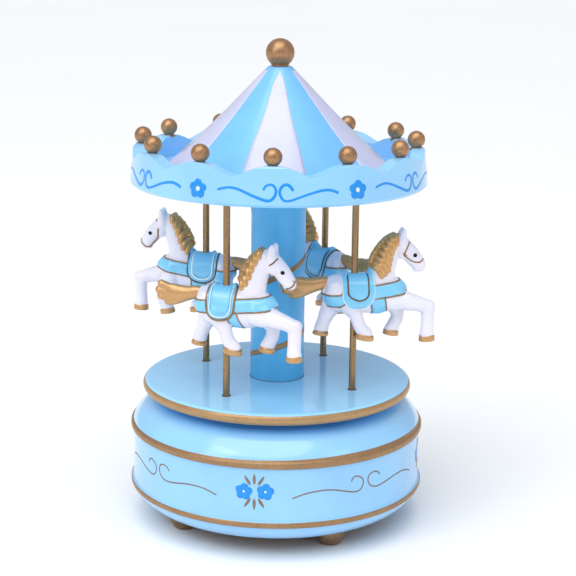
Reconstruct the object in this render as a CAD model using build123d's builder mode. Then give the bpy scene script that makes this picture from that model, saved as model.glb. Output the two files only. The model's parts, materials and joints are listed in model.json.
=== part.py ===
"""Carousel music box: hollow base with a wound rotating-figure movement, turntable, column,
four poles with horses, and a scalloped canopy. Millimetres, +Z up, axis of rotation on Z."""
import os
from math import cos, sin, pi, radians, degrees, atan2, hypot
from build123d import *

os.makedirs("parts", exist_ok=True)

# ---------------------------------------------------------------- driving dimensions
# base
FOOT_H = 6.6            # feet lift the base by this much
FOOT_RING_R = 39.4
FOOT_PHASE = -59.0      # angle of the first foot, degrees from +X
BASE_FOOT_R = 47.0      # radius where the base meets its underside
BAND_R = 55.2           # lower gilt band
BAND_TOP_R = 55.0       # upper gilt band
WAIST_R = 53.9
BAND_LO_Z, BAND_LO_H = 13.4, 2.1
BAND_UP_Z, BAND_UP_H = 35.2, 2.2
BASE_TOP_Z = 46.0
BASE_TOP_R = 44.0
CAVITY_R = 48.6
CAVITY_MOUTH_R = 44.6
CAVITY_TOP_Z = 39.5
PLATE_T = 2.0           # bottom plate
RIB_R, RIB_W, RIB_TOP_Z = 42.0, 7.0, 18.0
RIB_PHASE = 76.0
SCREW_R = 1.2

# turntable, column, poles
TABLE_R = 50.4
TABLE_Z, TABLE_TOP = 49.2, 53.5
COLUMN_R = 10.1
COLUMN_SEAT = 1.5
POLE_R = 1.25
POLE_RING_R = 33.1
POLE_PHASE = -123.0     # first pole, degrees from +X

# canopy
CEIL_Z, CEIL_TOP = 128.6, 133.0
RIM_Z = 127.2
RIM_R_BOTTOM, RIM_R_TOP = 54.5, 53.3
RIM_WALL = 5.2
PEAK_Z, VALLEY_Z = 141.0, 137.4
SCALLOPS = 12
CANOPY_PHASE = -92.0    # first scallop peak, degrees from +X
BALL_R, BALL_RING_R, BALL_Z = 3.2, 50.0, 143.8
CONE_TOP_Z, CONE_TOP_R = 169.7, 4.2
CONE_FOOT_R = 43.0
FINIAL_R, FINIAL_Z = 5.2, 174.5

# movement
BED_Z, BED_T = 37.0, 2.5
BED_R = 43.6
ARBOR_R = 2.2
CROWN_TEETH, PINION_LEAVES = 36, 12
CROWN_PITCH_R = 11.5
CYL_Z = 28.87           # height of the cylinder axis
PINION_PITCH_R = 3.83
DRUM_R, DRUM_X0, DRUM_X1 = 6.3, 15.4, 34.4
PIN_H = 0.5
COMB_TEETH = 18
MODULE = 0.4
END_TEETH, SECOND_TEETH, WORM_TEETH = 30, 10, 24
SECOND_Y = 8.0
WORM_X = 38.0
WORM_MEAN_R, WORM_ECC = 1.275, 0.425
WORM_PITCH = pi * MODULE
WORM_Y = SECOND_Y + WORM_TEETH * MODULE / 2 + WORM_MEAN_R + 0.025
GOV_R = 0.5
FIT = 0.04              # radial running clearance


def polar(r, deg, z=0.0):
    """Point at radius r and angle deg about the Z axis."""
    return (r * cos(radians(deg)), r * sin(radians(deg)), z)


def gear_points(teeth, r_root, r_tip, pitch_r, w_pitch, w_tip, phase=0.0, cx=0.0, cy=0.0):
    """Outline of a straight-flanked wheel about (cx, cy); a tooth is centred on angle phase."""
    w_root = w_pitch + (w_pitch - w_tip) * (pitch_r - r_root) / (r_tip - pitch_r)
    pts = []
    for i in range(teeth):
        mid = radians(phase + 360.0 * i / teeth)
        for r, w, side in ((r_root, w_root, -1), (r_tip, w_tip, -1), (r_tip, w_tip, 1), (r_root, w_root, 1)):
            a = mid + side * (w / 2) / r
            pts.append((cx + r * cos(a), cy + r * sin(a)))
    return pts


def save(piece, name):
    piece.part.label = name
    export_step(piece.part, "parts/" + name + ".step")


# ---------------------------------------------------------------- base
rib_angles = [RIB_PHASE + 90 * k for k in range(4)]
foot_angles = [FOOT_PHASE + 90 * k for k in range(4)]
move_screws = [(-14.0, 14.0), (-14.0, -20.0), (22.0, 15.0)]

with BuildPart() as base_body:
    with BuildSketch(Plane.XZ):
        with BuildLine():
            Polyline((CAVITY_MOUTH_R, FOOT_H), (BASE_FOOT_R, FOOT_H))
            Spline((BASE_FOOT_R, FOOT_H), (51.6, 9.2), (54.3, BAND_LO_Z - 0.2), tangents=((1, 0.25), (0.25, 1)))
            Polyline((54.3, BAND_LO_Z - 0.2), (BAND_R - 0.25, BAND_LO_Z), (BAND_R, BAND_LO_Z + 0.5),
                     (BAND_R, BAND_LO_Z + BAND_LO_H - 0.5), (BAND_R - 0.25, BAND_LO_Z + BAND_LO_H),
                     (54.4, BAND_LO_Z + BAND_LO_H + 0.2))
            Spline((54.4, BAND_LO_Z + BAND_LO_H + 0.2), (WAIST_R, 24.0), (54.2, BAND_UP_Z - 0.2))
            Polyline((54.2, BAND_UP_Z - 0.2), (BAND_TOP_R - 0.25, BAND_UP_Z), (BAND_TOP_R, BAND_UP_Z + 0.5),
                     (BAND_TOP_R, BAND_UP_Z + BAND_UP_H - 0.5), (BAND_TOP_R - 0.25, BAND_UP_Z + BAND_UP_H),
                     (54.3, BAND_UP_Z + BAND_UP_H + 0.2))
            Spline((54.3, BAND_UP_Z + BAND_UP_H + 0.2), (51.7, 41.8), (BASE_TOP_R, BASE_TOP_Z),
                   tangents=((-0.35, 1), (-1, 0.05)))
            Polyline((BASE_TOP_R, BASE_TOP_Z), (4.5, BASE_TOP_Z), (4.5, CAVITY_TOP_Z), (45.6, CAVITY_TOP_Z),
                     (CAVITY_R, CAVITY_TOP_Z - 3.0), (CAVITY_R, 15.0), (CAVITY_MOUTH_R, 11.0),
                     (CAVITY_MOUTH_R, FOOT_H))
        make_face()
    revolve(axis=Axis.Z)
    for a in rib_angles:
        with BuildSketch(Plane.XY.offset(FOOT_H + PLATE_T)):
            with Locations(Location(polar(45.0, a), (0, 0, a))):
                SlotOverall(13.0, RIB_W)
        extrude(amount=RIB_TOP_Z - FOOT_H - PLATE_T)
    with Locations(*[Location(polar(RIB_R, a, FOOT_H + PLATE_T)) for a in rib_angles]):
        Cylinder(SCREW_R, 7.0, align=(Align.CENTER, Align.CENTER, Align.MIN), mode=Mode.SUBTRACT)
    with Locations(*[Location((x, y, CAVITY_TOP_Z)) for x, y in move_screws]):
        Cylinder(SCREW_R + 0.1, BASE_TOP_Z - CAVITY_TOP_Z, align=(Align.CENTER, Align.CENTER, Align.MIN),
                 mode=Mode.SUBTRACT)
save(base_body, "base_body")

with BuildPart() as bottom_plate:
    with BuildSketch(Plane.XY.offset(FOOT_H)):
        Circle(CAVITY_MOUTH_R - 0.1)
        with PolarLocations(24.0, 8):
            Circle(2.2, mode=Mode.SUBTRACT)
        with Locations(*[polar(RIB_R, a)[:2] for a in rib_angles]):
            Circle(SCREW_R + 0.1, mode=Mode.SUBTRACT)
        with Locations(*[polar(FOOT_RING_R, a)[:2] for a in foot_angles]):
            Circle(2.0, mode=Mode.SUBTRACT)
    extrude(amount=PLATE_T)
save(bottom_plate, "bottom_plate")

for k, a in enumerate(foot_angles):
    fx, fy, _ = polar(FOOT_RING_R, a)
    with BuildPart() as foot:
        with BuildSketch(Plane(origin=(fx, fy, 0), x_dir=(1, 0, 0), z_dir=(0, -1, 0))):
            with BuildLine():
                Polyline((0, FOOT_H + PLATE_T), (0, 0), (3.6, 0))
                Spline((3.6, 0), (4.5, 1.2), (5.75, 4.6), (5.6, 5.9), (5.0, FOOT_H))
                Polyline((5.0, FOOT_H), (2.0, FOOT_H), (2.0, FOOT_H + PLATE_T), (0, FOOT_H + PLATE_T))
            make_face()
        revolve(axis=Axis((fx, fy, 0), (0, 0, 1)))
    save(foot, "foot_%d" % (k + 1))

with BuildPart() as bottom_screws:
    with Locations(*[Location(polar(RIB_R, a, FOOT_H)) for a in rib_angles]):
        Cylinder(SCREW_R, 8.0, align=(Align.CENTER, Align.CENTER, Align.MIN))
        Cylinder(2.2, 1.3, align=(Align.CENTER, Align.CENTER, Align.MAX))
    with Locations(*[Location(polar(RIB_R, a, FOOT_H - 1.3), (0, 0, a)) for a in rib_angles]):
        Box(2.8, 0.5, 0.6, align=(Align.CENTER, Align.CENTER, Align.MIN), mode=Mode.SUBTRACT)
        Box(0.5, 2.8, 0.6, align=(Align.CENTER, Align.CENTER, Align.MIN), mode=Mode.SUBTRACT)
save(bottom_screws, "bottom_screws")

with BuildPart() as movement_screws:
    with Locations(*[Location((x, y, BASE_TOP_Z)) for x, y in move_screws]):
        Cylinder(SCREW_R, BASE_TOP_Z - BED_Z - 0.3, align=(Align.CENTER, Align.CENTER, Align.MAX))
        Cylinder(2.3, 1.5, align=(Align.CENTER, Align.CENTER, Align.MIN))
    with Locations(*[Location((x, y, BASE_TOP_Z + 1.5)) for x, y in move_screws]):
        Box(3.0, 0.5, 0.7, align=(Align.CENTER, Align.CENTER, Align.MAX), mode=Mode.SUBTRACT)
        Box(0.5, 3.0, 0.7, align=(Align.CENTER, Align.CENTER, Align.MAX), mode=Mode.SUBTRACT)
save(movement_screws, "movement_screws")

with BuildPart() as top_bush:
    with BuildSketch(Plane.XY.offset(CAVITY_TOP_Z)):
        Circle(4.5)
        Circle(ARBOR_R + FIT, mode=Mode.SUBTRACT)
    extrude(amount=BASE_TOP_Z - CAVITY_TOP_Z)
    with BuildSketch(Plane.XY.offset(BASE_TOP_Z)):
        Circle(6.5)
        Circle(ARBOR_R + FIT, mode=Mode.SUBTRACT)
    extrude(amount=0.6)
save(top_bush, "top_bush")

# ---------------------------------------------------------------- movement, fixed pieces
comb_x = [DRUM_X0 + 1.0 + (DRUM_X1 - DRUM_X0 - 2.0) * (i + 0.5) / COMB_TEETH for i in range(COMB_TEETH)]
comb_screws_x = (18.5, 25.0, 31.5)

with BuildPart() as bedplate:
    with BuildSketch(Plane.XY.offset(BED_Z)):
        with Locations((11.5, -3.0)):
            Rectangle(63.0, 46.0)
        Circle(BED_R, mode=Mode.INTERSECT)
        Circle(ARBOR_R + 0.6, mode=Mode.SUBTRACT)
        with Locations(*move_screws):
            Circle(SCREW_R, mode=Mode.SUBTRACT)
    extrude(amount=BED_T)
    with BuildSketch(Plane.XY.offset(CYL_Z + 0.5)):
        with Locations((25.0, -20.0)):
            Rectangle(19.0, 6.4)
    extrude(amount=BED_Z - CYL_Z - 0.5)
    with Locations(*[Location((x, -20.0, CYL_Z + 0.5)) for x in comb_screws_x]):
        Cylinder(0.9, 4.0, align=(Align.CENTER, Align.CENTER, Align.MIN), mode=Mode.SUBTRACT)
save(bedplate, "bedplate")

HOUSE_R, HOUSE_Z0, HOUSE_Z1 = 9.5, 20.0, 31.4
with BuildPart() as spring_housing:
    with BuildSketch(Plane.XY.offset(HOUSE_Z0)):
        Circle(HOUSE_R)
        with Locations(*[polar(15.6, a)[:2] for a in (100, 180, 260)]):
            Circle(2.6)
        with Locations(*[Location(polar(8.0, a), (0, 0, a)) for a in (100, 180, 260)]):
            Rectangle(16.0, 4.4)
        Circle(ARBOR_R + FIT, mode=Mode.SUBTRACT)
    extrude(amount=1.6)
    with BuildSketch(Plane.XY.offset(HOUSE_Z0)):
        Circle(HOUSE_R)
        Circle(HOUSE_R - 0.8, mode=Mode.SUBTRACT)
    extrude(amount=HOUSE_Z1 - HOUSE_Z0)
    with BuildSketch(Plane.XY.offset(HOUSE_Z1 - 0.8)):
        Circle(HOUSE_R)
        Circle(ARBOR_R + 0.8, mode=Mode.SUBTRACT)
    extrude(amount=0.8)
    with Locations(*[Location(polar(15.6, a, HOUSE_Z0)) for a in (100, 180, 260)]):
        Cylinder(1.8, BED_Z - HOUSE_Z0, align=(Align.CENTER, Align.CENTER, Align.MIN))
save(spring_housing, "spring_housing")

# mainspring: flat spiral strip, outer end against the housing wall, inner end by the arbor
SPRING_TURNS, SPRING_T = 5.0, 0.42
spring_r0, spring_r1 = ARBOR_R + 0.5, HOUSE_R - 0.8 - SPRING_T


def spiral(shift):
    pts = []
    steps = int(SPRING_TURNS * 12)
    for i in range(steps + 1):
        t = i / steps
        pts.append(polar(spring_r0 + (spring_r1 - spring_r0) * t + shift, 360.0 * SPRING_TURNS * t)[:2])
    return pts


with BuildPart() as mainspring:
    with BuildSketch(Plane.XY.offset(HOUSE_Z0 + 2.0)):
        with BuildLine():
            inner = Spline(*spiral(0.0))
            outer = Spline(*spiral(SPRING_T))
            Line(inner @ 0, outer @ 0)
            Line(inner @ 1, outer @ 1)
        make_face()
    extrude(amount=HOUSE_Z1 - HOUSE_Z0 - 3.4)
save(mainspring, "mainspring")

# comb: graduated steel teeth whose tips stand just clear of the pin circle
tip_y = -(DRUM_R + PIN_H + 0.1)
with BuildPart() as comb:
    with BuildSketch(Plane.XY.offset(CYL_Z - 0.5)):
        with Locations((25.0, -20.0)):
            Rectangle(19.0, 6.4)
        with Locations(*[(x, -20.0) for x in comb_screws_x]):
            Circle(1.0, mode=Mode.SUBTRACT)
    extrude(amount=1.0)
    for i, x in enumerate(comb_x):
        root = -16.9 + 0.16 * i
        with BuildSketch(Plane.XY.offset(CYL_Z - 0.15)):
            with BuildLine():
                Polyline((x - 0.34, -17.2), (x + 0.34, -17.2), (x + 0.34, root), (x + 0.2, tip_y),
                         (x - 0.2, tip_y), (x - 0.34, root), close=True)
            make_face()
        extrude(amount=0.5)
save(comb, "comb")

with BuildPart() as comb_screws:
    with Locations(*[Location((x, -20.0, CYL_Z - 0.5)) for x in comb_screws_x]):
        Cylinder(0.9, 4.4, align=(Align.CENTER, Align.CENTER, Align.MIN))
        Cylinder(1.7, 1.2, align=(Align.CENTER, Align.CENTER, Align.MAX))
    with Locations(*[Location((x, -20.0, CYL_Z - 1.7)) for x in comb_screws_x]):
        Box(4.0, 0.5, 0.5, align=(Align.CENTER, Align.CENTER, Align.MIN), mode=Mode.SUBTRACT)
save(comb_screws, "comb_screws")

# brackets hang from the bedplate; each is a plate across X with a foot under the bedplate
CYL_ARBOR_R, SECOND_ARBOR_R = 1.0, 0.6
with BuildPart() as bracket_inner:
    with BuildSketch(Plane.YZ.offset(13.2)):
        with Locations((0, (CYL_Z - 3 + BED_Z) / 2)):
            Rectangle(7.0, BED_Z - CYL_Z + 3)
        with Locations((0, CYL_Z)):
            Circle(CYL_ARBOR_R + FIT, mode=Mode.SUBTRACT)
    extrude(amount=1.4)
save(bracket_inner, "bracket_inner")

with BuildPart() as bracket_outer:
    with BuildSketch(Plane.YZ.offset(39.7)):
        with Locations((2.6, (CYL_Z - 3 + BED_Z) / 2)):
            Rectangle(14.8, BED_Z - CYL_Z + 3)
        with Locations((0, CYL_Z)):
            Circle(CYL_ARBOR_R + FIT, mode=Mode.SUBTRACT)
        with Locations((SECOND_Y, CYL_Z)):
            Circle(SECOND_ARBOR_R + FIT, mode=Mode.SUBTRACT)
    extrude(amount=1.3)
save(bracket_outer, "bracket_outer")

with BuildPart() as governor_bracket:
    with BuildSketch(Plane.XY.offset(BED_Z - 1.4)):
        with Locations((36.0, 13.1)):
            Rectangle(7.0, 11.6)
        with Locations((WORM_X, WORM_Y)):
            Circle(GOV_R + FIT, mode=Mode.SUBTRACT)
    extrude(amount=1.4)
    with BuildSketch(Plane.XY.offset(18.2)):
        with Locations((36.0, 18.35)):
            Rectangle(7.0, 1.1)
    extrude(amount=BED_Z - 18.2)
    with BuildSketch(Plane.XY.offset(18.2)):
        with Locations((37.25, 15.7)):
            Rectangle(4.5, 6.4)
        with Locations((WORM_X, WORM_Y)):
            Circle(GOV_R + FIT, mode=Mode.SUBTRACT)
    extrude(amount=1.2)
    with BuildSketch(Plane.YZ.offset(32.5)):
        with Locations((9.2, (CYL_Z - 2 + BED_Z) / 2)):
            Rectangle(3.8, BED_Z - CYL_Z + 2)
        with Locations((SECOND_Y, CYL_Z)):
            Circle(SECOND_ARBOR_R + FIT, mode=Mode.SUBTRACT)
    extrude(amount=1.3)
save(governor_bracket, "governor_bracket")

# ---------------------------------------------------------------- winding arbor and crown wheel
with BuildPart() as winding_arbor:
    with BuildSketch(Plane.XY.offset(19.0)):
        Circle(ARBOR_R)
    extrude(amount=50.8 - 19.0)
    with BuildSketch(Plane.XY.offset(18.2)):
        Circle(ARBOR_R + 0.9)
    extrude(amount=0.8)
save(winding_arbor, "winding_arbor")

crown_pitch_z = CYL_Z + PINION_PITCH_R
with BuildPart() as crown_tooth:
    with BuildSketch(Plane.YZ.offset(CROWN_PITCH_R - 0.6)):
        with BuildLine():
            Polyline((-0.42, crown_pitch_z + 0.75), (0.42, crown_pitch_z + 0.75),
                     (0.2, crown_pitch_z - 0.45), (-0.2, crown_pitch_z - 0.45), close=True)
        make_face()
    extrude(amount=1.2)

with BuildPart() as great_wheel:
    with BuildSketch(Plane.XY.offset(crown_pitch_z + 0.65)):
        Circle(CROWN_PITCH_R + 0.9)
        Circle(ARBOR_R, mode=Mode.SUBTRACT)
        with PolarLocations(6.9, 6):
            Circle(2.0, mode=Mode.SUBTRACT)
    extrude(amount=1.5)
    with BuildSketch(Plane.XY.offset(crown_pitch_z + 0.65)):
        Circle(4.2)
        Circle(ARBOR_R, mode=Mode.SUBTRACT)
    extrude(amount=2.6)
    with PolarLocations(0, CROWN_TEETH):
        add(crown_tooth.part)
save(great_wheel, "great_wheel")

# ---------------------------------------------------------------- cylinder line (axis along X)
with BuildPart() as cylinder_drum:
    with BuildSketch(Plane.YZ.offset(DRUM_X0)):
        with Locations((0, CYL_Z)):
            Circle(DRUM_R)
            Circle(CYL_ARBOR_R, mode=Mode.SUBTRACT)
    extrude(amount=DRUM_X1 - DRUM_X0)
    pin_spots = []
    for i, x in enumerate(comb_x):
        for j in range(4 + i % 3):
            a = radians((97.0 * i + 360.0 * j / (4 + i % 3) + 23.0 * ((i * j) % 3)) % 360.0)
            pin_spots.append(Plane(origin=(x, (DRUM_R - 0.3) * cos(a), CYL_Z + (DRUM_R - 0.3) * sin(a)),
                                   x_dir=(1, 0, 0), z_dir=(0, cos(a), sin(a))))
    with Locations(*pin_spots):
        Cylinder(0.17, 0.3 + PIN_H, align=(Align.CENTER, Align.CENTER, Align.MIN))
save(cylinder_drum, "cylinder_drum")

with BuildPart() as cylinder_arbor:
    with BuildSketch(Plane.YZ.offset(10.4)):
        with Locations((0, CYL_Z)):
            Circle(CYL_ARBOR_R)
    extrude(amount=41.6 - 10.4)
save(cylinder_arbor, "cylinder_arbor")

with BuildPart() as cylinder_pinion:
    with BuildSketch(Plane.YZ.offset(CROWN_PITCH_R - 0.6)):
        with BuildLine():
            Polyline(*gear_points(PINION_LEAVES, PINION_PITCH_R - 0.6, PINION_PITCH_R + 0.42, PINION_PITCH_R,
                                  0.7, 0.4, 90.0 + 180.0 / PINION_LEAVES, 0.0, CYL_Z), close=True)
        make_face()
        with Locations((0, CYL_Z)):
            Circle(CYL_ARBOR_R, mode=Mode.SUBTRACT)
    extrude(amount=1.2)
save(cylinder_pinion, "cylinder_pinion")

END_R, SECOND_R, WHEEL_R = END_TEETH * MODULE / 2, SECOND_TEETH * MODULE / 2, WORM_TEETH * MODULE / 2
with BuildPart() as cylinder_end_wheel:
    with BuildSketch(Plane.YZ.offset(35.3)):
        with BuildLine():
            Polyline(*gear_points(END_TEETH, END_R - 0.5, END_R + 0.34, END_R, 0.5, 0.26, 0.0, 0.0, CYL_Z),
                     close=True)
        make_face()
        with Locations((0, CYL_Z)):
            Circle(CYL_ARBOR_R, mode=Mode.SUBTRACT)
    extrude(amount=0.8)
    with BuildSketch(Plane.YZ.offset(36.1)):
        with Locations((0, CYL_Z)):
            Circle(2.2)
            Circle(CYL_ARBOR_R, mode=Mode.SUBTRACT)
    extrude(amount=1.6)
save(cylinder_end_wheel, "cylinder_end_wheel")

with BuildPart() as second_arbor:
    with BuildSketch(Plane.YZ.offset(32.2)):
        with Locations((SECOND_Y, CYL_Z)):
            Circle(SECOND_ARBOR_R)
    extrude(amount=41.2 - 32.2)
    with BuildSketch(Plane.YZ.offset(35.1)):
        with BuildLine():
            Polyline(*gear_points(SECOND_TEETH, SECOND_R - 0.5, SECOND_R + 0.34, SECOND_R, 0.5, 0.26,
                                  180.0 + 180.0 / SECOND_TEETH, SECOND_Y, CYL_Z), close=True)
        make_face()
    extrude(amount=1.2)
save(second_arbor, "second_arbor")

with BuildPart() as worm_wheel:
    with BuildSketch(Plane.YZ.offset(WORM_X - 0.4)):
        with BuildLine():
            Polyline(*gear_points(WORM_TEETH, WHEEL_R - 0.45, WHEEL_R + 0.33, WHEEL_R, 0.3, 0.16, 0.0,
                                  SECOND_Y, CYL_Z), close=True)
        make_face()
        with Locations((SECOND_Y, CYL_Z)):
            Circle(SECOND_ARBOR_R, mode=Mode.SUBTRACT)
            with PolarLocations(2.6, 5):
                Circle(0.85, mode=Mode.SUBTRACT)
    extrude(amount=0.8)
    with BuildSketch(Plane.YZ.offset(WORM_X - 0.9)):
        with Locations((SECOND_Y, CYL_Z)):
            Circle(1.3)
            Circle(SECOND_ARBOR_R, mode=Mode.SUBTRACT)
    extrude(amount=1.8)
save(worm_wheel, "worm_wheel")

# worm: an off-centre disc carried up a right-hand helix gives a smooth single-start thread
WORM_Z0, WORM_LEN = 25.6, 6.6
ridge = 90.0 + 360.0 * (WORM_Z0 - CYL_Z) / WORM_PITCH
worm_face = Face(Wire.make_circle(WORM_MEAN_R, Plane(
    (WORM_X + WORM_ECC * cos(radians(ridge)), WORM_Y + WORM_ECC * sin(radians(ridge)), WORM_Z0))))
worm_thread = Solid.extrude_linear_with_rotation(
    worm_face, (WORM_X, WORM_Y, WORM_Z0), (0, 0, WORM_LEN), 360.0 * WORM_LEN / WORM_PITCH)
with BuildPart() as governor_worm:
    add(worm_thread)
    with Locations((WORM_X, WORM_Y, 18.0)):
        Cylinder(GOV_R, BED_Z - 0.2 - 18.0, align=(Align.CENTER, Align.CENTER, Align.MIN))
    with Locations((WORM_X, WORM_Y, WORM_Z0 - 0.8)):
        Cylinder(1.0, 0.9, align=(Align.CENTER, Align.CENTER, Align.MIN))
save(governor_worm, "governor_worm")

with BuildPart() as governor_fan:
    with BuildSketch(Plane.XY.offset(19.9)):
        with Locations((WORM_X, WORM_Y)):
            Circle(1.1)
            Circle(GOV_R, mode=Mode.SUBTRACT)
    extrude(amount=4.0)
    for side in (0, 180):
        with BuildSketch(Plane.XY.offset(20.1)):
            with Locations(Location((WORM_X, WORM_Y), side + 30.0)):
                with Locations((2.15, 0)):
                    Rectangle(2.4, 0.3)
        extrude(amount=3.6)
save(governor_fan, "governor_fan")

# ---------------------------------------------------------------- turntable and column
flange_screw_angles = (30, 150, 270)
with BuildPart() as drive_flange:
    with BuildSketch(Plane.XY.offset(TABLE_Z - 1.8)):
        Circle(9.0)
        Circle(ARBOR_R, mode=Mode.SUBTRACT)
    extrude(amount=1.8)
    with BuildSketch(Plane.XY.offset(BASE_TOP_Z + 0.8)):
        Circle(4.4)
        Circle(ARBOR_R, mode=Mode.SUBTRACT)
    extrude(amount=TABLE_Z - 1.8 - BASE_TOP_Z - 0.8)
    with Locations(*[Location(polar(6.6, a, TABLE_Z - 1.8)) for a in flange_screw_angles]):
        Cylinder(0.9, 1.8, align=(Align.CENTER, Align.CENTER, Align.MIN), mode=Mode.SUBTRACT)
        Cone(1.8, 0.9, 0.9, align=(Align.CENTER, Align.CENTER, Align.MIN), mode=Mode.SUBTRACT)
save(drive_flange, "drive_flange")

with BuildPart() as flange_screws:
    with Locations(*[Location(polar(6.6, a, TABLE_Z - 1.8)) for a in flange_screw_angles]):
        Cylinder(0.9, 3.8, align=(Align.CENTER, Align.CENTER, Align.MIN))
        Cone(1.8, 0.9, 0.9, align=(Align.CENTER, Align.CENTER, Align.MIN))
    with Locations(*[Location(polar(6.6, a, TABLE_Z - 1.8)) for a in flange_screw_angles]):
        Box(2.4, 0.4, 0.4, align=(Align.CENTER, Align.CENTER, Align.MIN), mode=Mode.SUBTRACT)
save(flange_screws, "flange_screws")

pole_spots = [polar(POLE_RING_R, POLE_PHASE + 90 * k) for k in range(4)]
TABLE_EDGE = (TABLE_TOP - TABLE_Z) / 2
with BuildPart() as turntable:
    with BuildSketch(Plane.XZ):
        with BuildLine():
            Line((0, TABLE_Z), (TABLE_R - TABLE_EDGE, TABLE_Z))
            ThreePointArc((TABLE_R - TABLE_EDGE, TABLE_Z), (TABLE_R, TABLE_Z + TABLE_EDGE),
                          (TABLE_R - TABLE_EDGE, TABLE_TOP))
            Polyline((TABLE_R - TABLE_EDGE, TABLE_TOP), (0, TABLE_TOP), (0, TABLE_Z))
        make_face()
    revolve(axis=Axis.Z)
    with Locations((0, 0, TABLE_Z)):
        Cylinder(ARBOR_R, 50.8 - TABLE_Z, align=(Align.CENTER, Align.CENTER, Align.MIN), mode=Mode.SUBTRACT)
    with Locations((0, 0, TABLE_TOP)):
        Cylinder(COLUMN_R, COLUMN_SEAT, align=(Align.CENTER, Align.CENTER, Align.MAX), mode=Mode.SUBTRACT)
    with Locations(*[Location((x, y, TABLE_TOP)) for x, y, _ in pole_spots]):
        Cylinder(POLE_R, 2.8, align=(Align.CENTER, Align.CENTER, Align.MAX), mode=Mode.SUBTRACT)
    with Locations(*[Location(polar(6.6, a, TABLE_Z)) for a in flange_screw_angles]):
        Cylinder(0.9, 2.0, align=(Align.CENTER, Align.CENTER, Align.MIN), mode=Mode.SUBTRACT)
save(turntable, "turntable")

with BuildPart() as centre_column:
    with BuildSketch(Plane.XY.offset(TABLE_TOP - COLUMN_SEAT)):
        Circle(COLUMN_R)
    extrude(amount=CEIL_Z + COLUMN_SEAT - TABLE_TOP + COLUMN_SEAT)
save(centre_column, "centre_column")

for k, (x, y, _) in enumerate(pole_spots):
    with BuildPart() as pole:
        with Locations((x, y, TABLE_TOP - 2.8)):
            Cylinder(POLE_R, CEIL_Z + 2.0 - TABLE_TOP + 2.8, align=(Align.CENTER, Align.CENTER, Align.MIN))
    save(pole, "pole_%d" % (k + 1))

# ---------------------------------------------------------------- canopy
peak_angles = [CANOPY_PHASE + 360.0 / SCALLOPS * k for k in range(SCALLOPS)]
HALF_CHORD = 51.8 * sin(pi / SCALLOPS)
with BuildPart() as canopy_ring:
    with BuildSketch(Plane.XZ):
        with BuildLine():
            Polyline((0, CEIL_Z), (RIM_R_BOTTOM - RIM_WALL, CEIL_Z), (RIM_R_BOTTOM - RIM_WALL, RIM_Z + 0.6),
                     (RIM_R_BOTTOM - RIM_WALL + 0.6, RIM_Z), (RIM_R_BOTTOM - 0.9, RIM_Z),
                     (RIM_R_BOTTOM, RIM_Z + 0.9), (RIM_R_TOP, PEAK_Z - 0.7), (RIM_R_TOP - 0.7, PEAK_Z),
                     (RIM_R_TOP - RIM_WALL + 0.9, PEAK_Z), (RIM_R_TOP - RIM_WALL, PEAK_Z - 0.9),
                     (RIM_R_TOP - RIM_WALL, CEIL_TOP), (0, CEIL_TOP), (0, CEIL_Z))
        make_face()
    revolve(axis=Axis.Z)
    for a in peak_angles:
        valley = a + 180.0 / SCALLOPS
        side_dir = (-sin(radians(valley)), cos(radians(valley)), 0)
        with BuildSketch(Plane(origin=polar(45.0, valley), x_dir=side_dir, z_dir=polar(1, valley))):
            with BuildLine():
                Spline((-HALF_CHORD, PEAK_Z), (0, VALLEY_Z), (HALF_CHORD, PEAK_Z), tangents=((1, 0), (1, 0)))
                Polyline((HALF_CHORD, PEAK_Z), (HALF_CHORD, PEAK_Z + 3), (-HALF_CHORD, PEAK_Z + 3),
                         (-HALF_CHORD, PEAK_Z))
            make_face()
        extrude(amount=12.0, mode=Mode.SUBTRACT)
    with Locations(*[Location(polar(BALL_RING_R, a, PEAK_Z + 0.1)) for a in peak_angles]):
        Cylinder(0.8, 2.1, align=(Align.CENTER, Align.CENTER, Align.MAX), mode=Mode.SUBTRACT)
    with Locations((0, 0, CEIL_Z)):
        Cylinder(COLUMN_R, COLUMN_SEAT, align=(Align.CENTER, Align.CENTER, Align.MIN), mode=Mode.SUBTRACT)
    with Locations(*[Location((x, y, CEIL_Z)) for x, y, _ in pole_spots]):
        Cylinder(POLE_R, 2.0, align=(Align.CENTER, Align.CENTER, Align.MIN), mode=Mode.SUBTRACT)
save(canopy_ring, "canopy_ring")

for k, a in enumerate(peak_angles):
    with BuildPart() as rim_ball:
        with Locations(polar(BALL_RING_R, a, BALL_Z)):
            Sphere(BALL_R)
        split(bisect_by=Plane.XY.offset(PEAK_Z), keep=Keep.TOP)
        with Locations(polar(BALL_RING_R, a, PEAK_Z + 0.4)):
            Cylinder(0.8, 2.2, align=(Align.CENTER, Align.CENTER, Align.MAX))
    save(rim_ball, "rim_ball_%02d" % (k + 1))

with BuildPart() as roof_cone:
    with BuildSketch(Plane.XZ):
        with BuildLine():
            Spline((CONE_FOOT_R, CEIL_TOP), (36.0, 138.4), (21.4, 152.0), (6.9, 167.0),
                   tangents=((-1, 0.65), (-1, 1.02)))
            Polyline((6.9, 167.0), (CONE_TOP_R + 0.3, CONE_TOP_Z - 0.25), (CONE_TOP_R - 0.2, CONE_TOP_Z),
                     (0, CONE_TOP_Z), (0, 161.5), (6.6, 161.5))
            Spline((6.6, 161.5), (20.2, 148.0), (CONE_FOOT_R - 4.4, CEIL_TOP), tangents=((1, -1), (1, -0.7)))
            Line((CONE_FOOT_R - 4.4, CEIL_TOP), (CONE_FOOT_R, CEIL_TOP))
        make_face()
    revolve(axis=Axis.Z)
    with Locations((0, 0, CONE_TOP_Z)):
        Cylinder(1.5, 3.6, align=(Align.CENTER, Align.CENTER, Align.MAX), mode=Mode.SUBTRACT)
save(roof_cone, "roof_cone")

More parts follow.
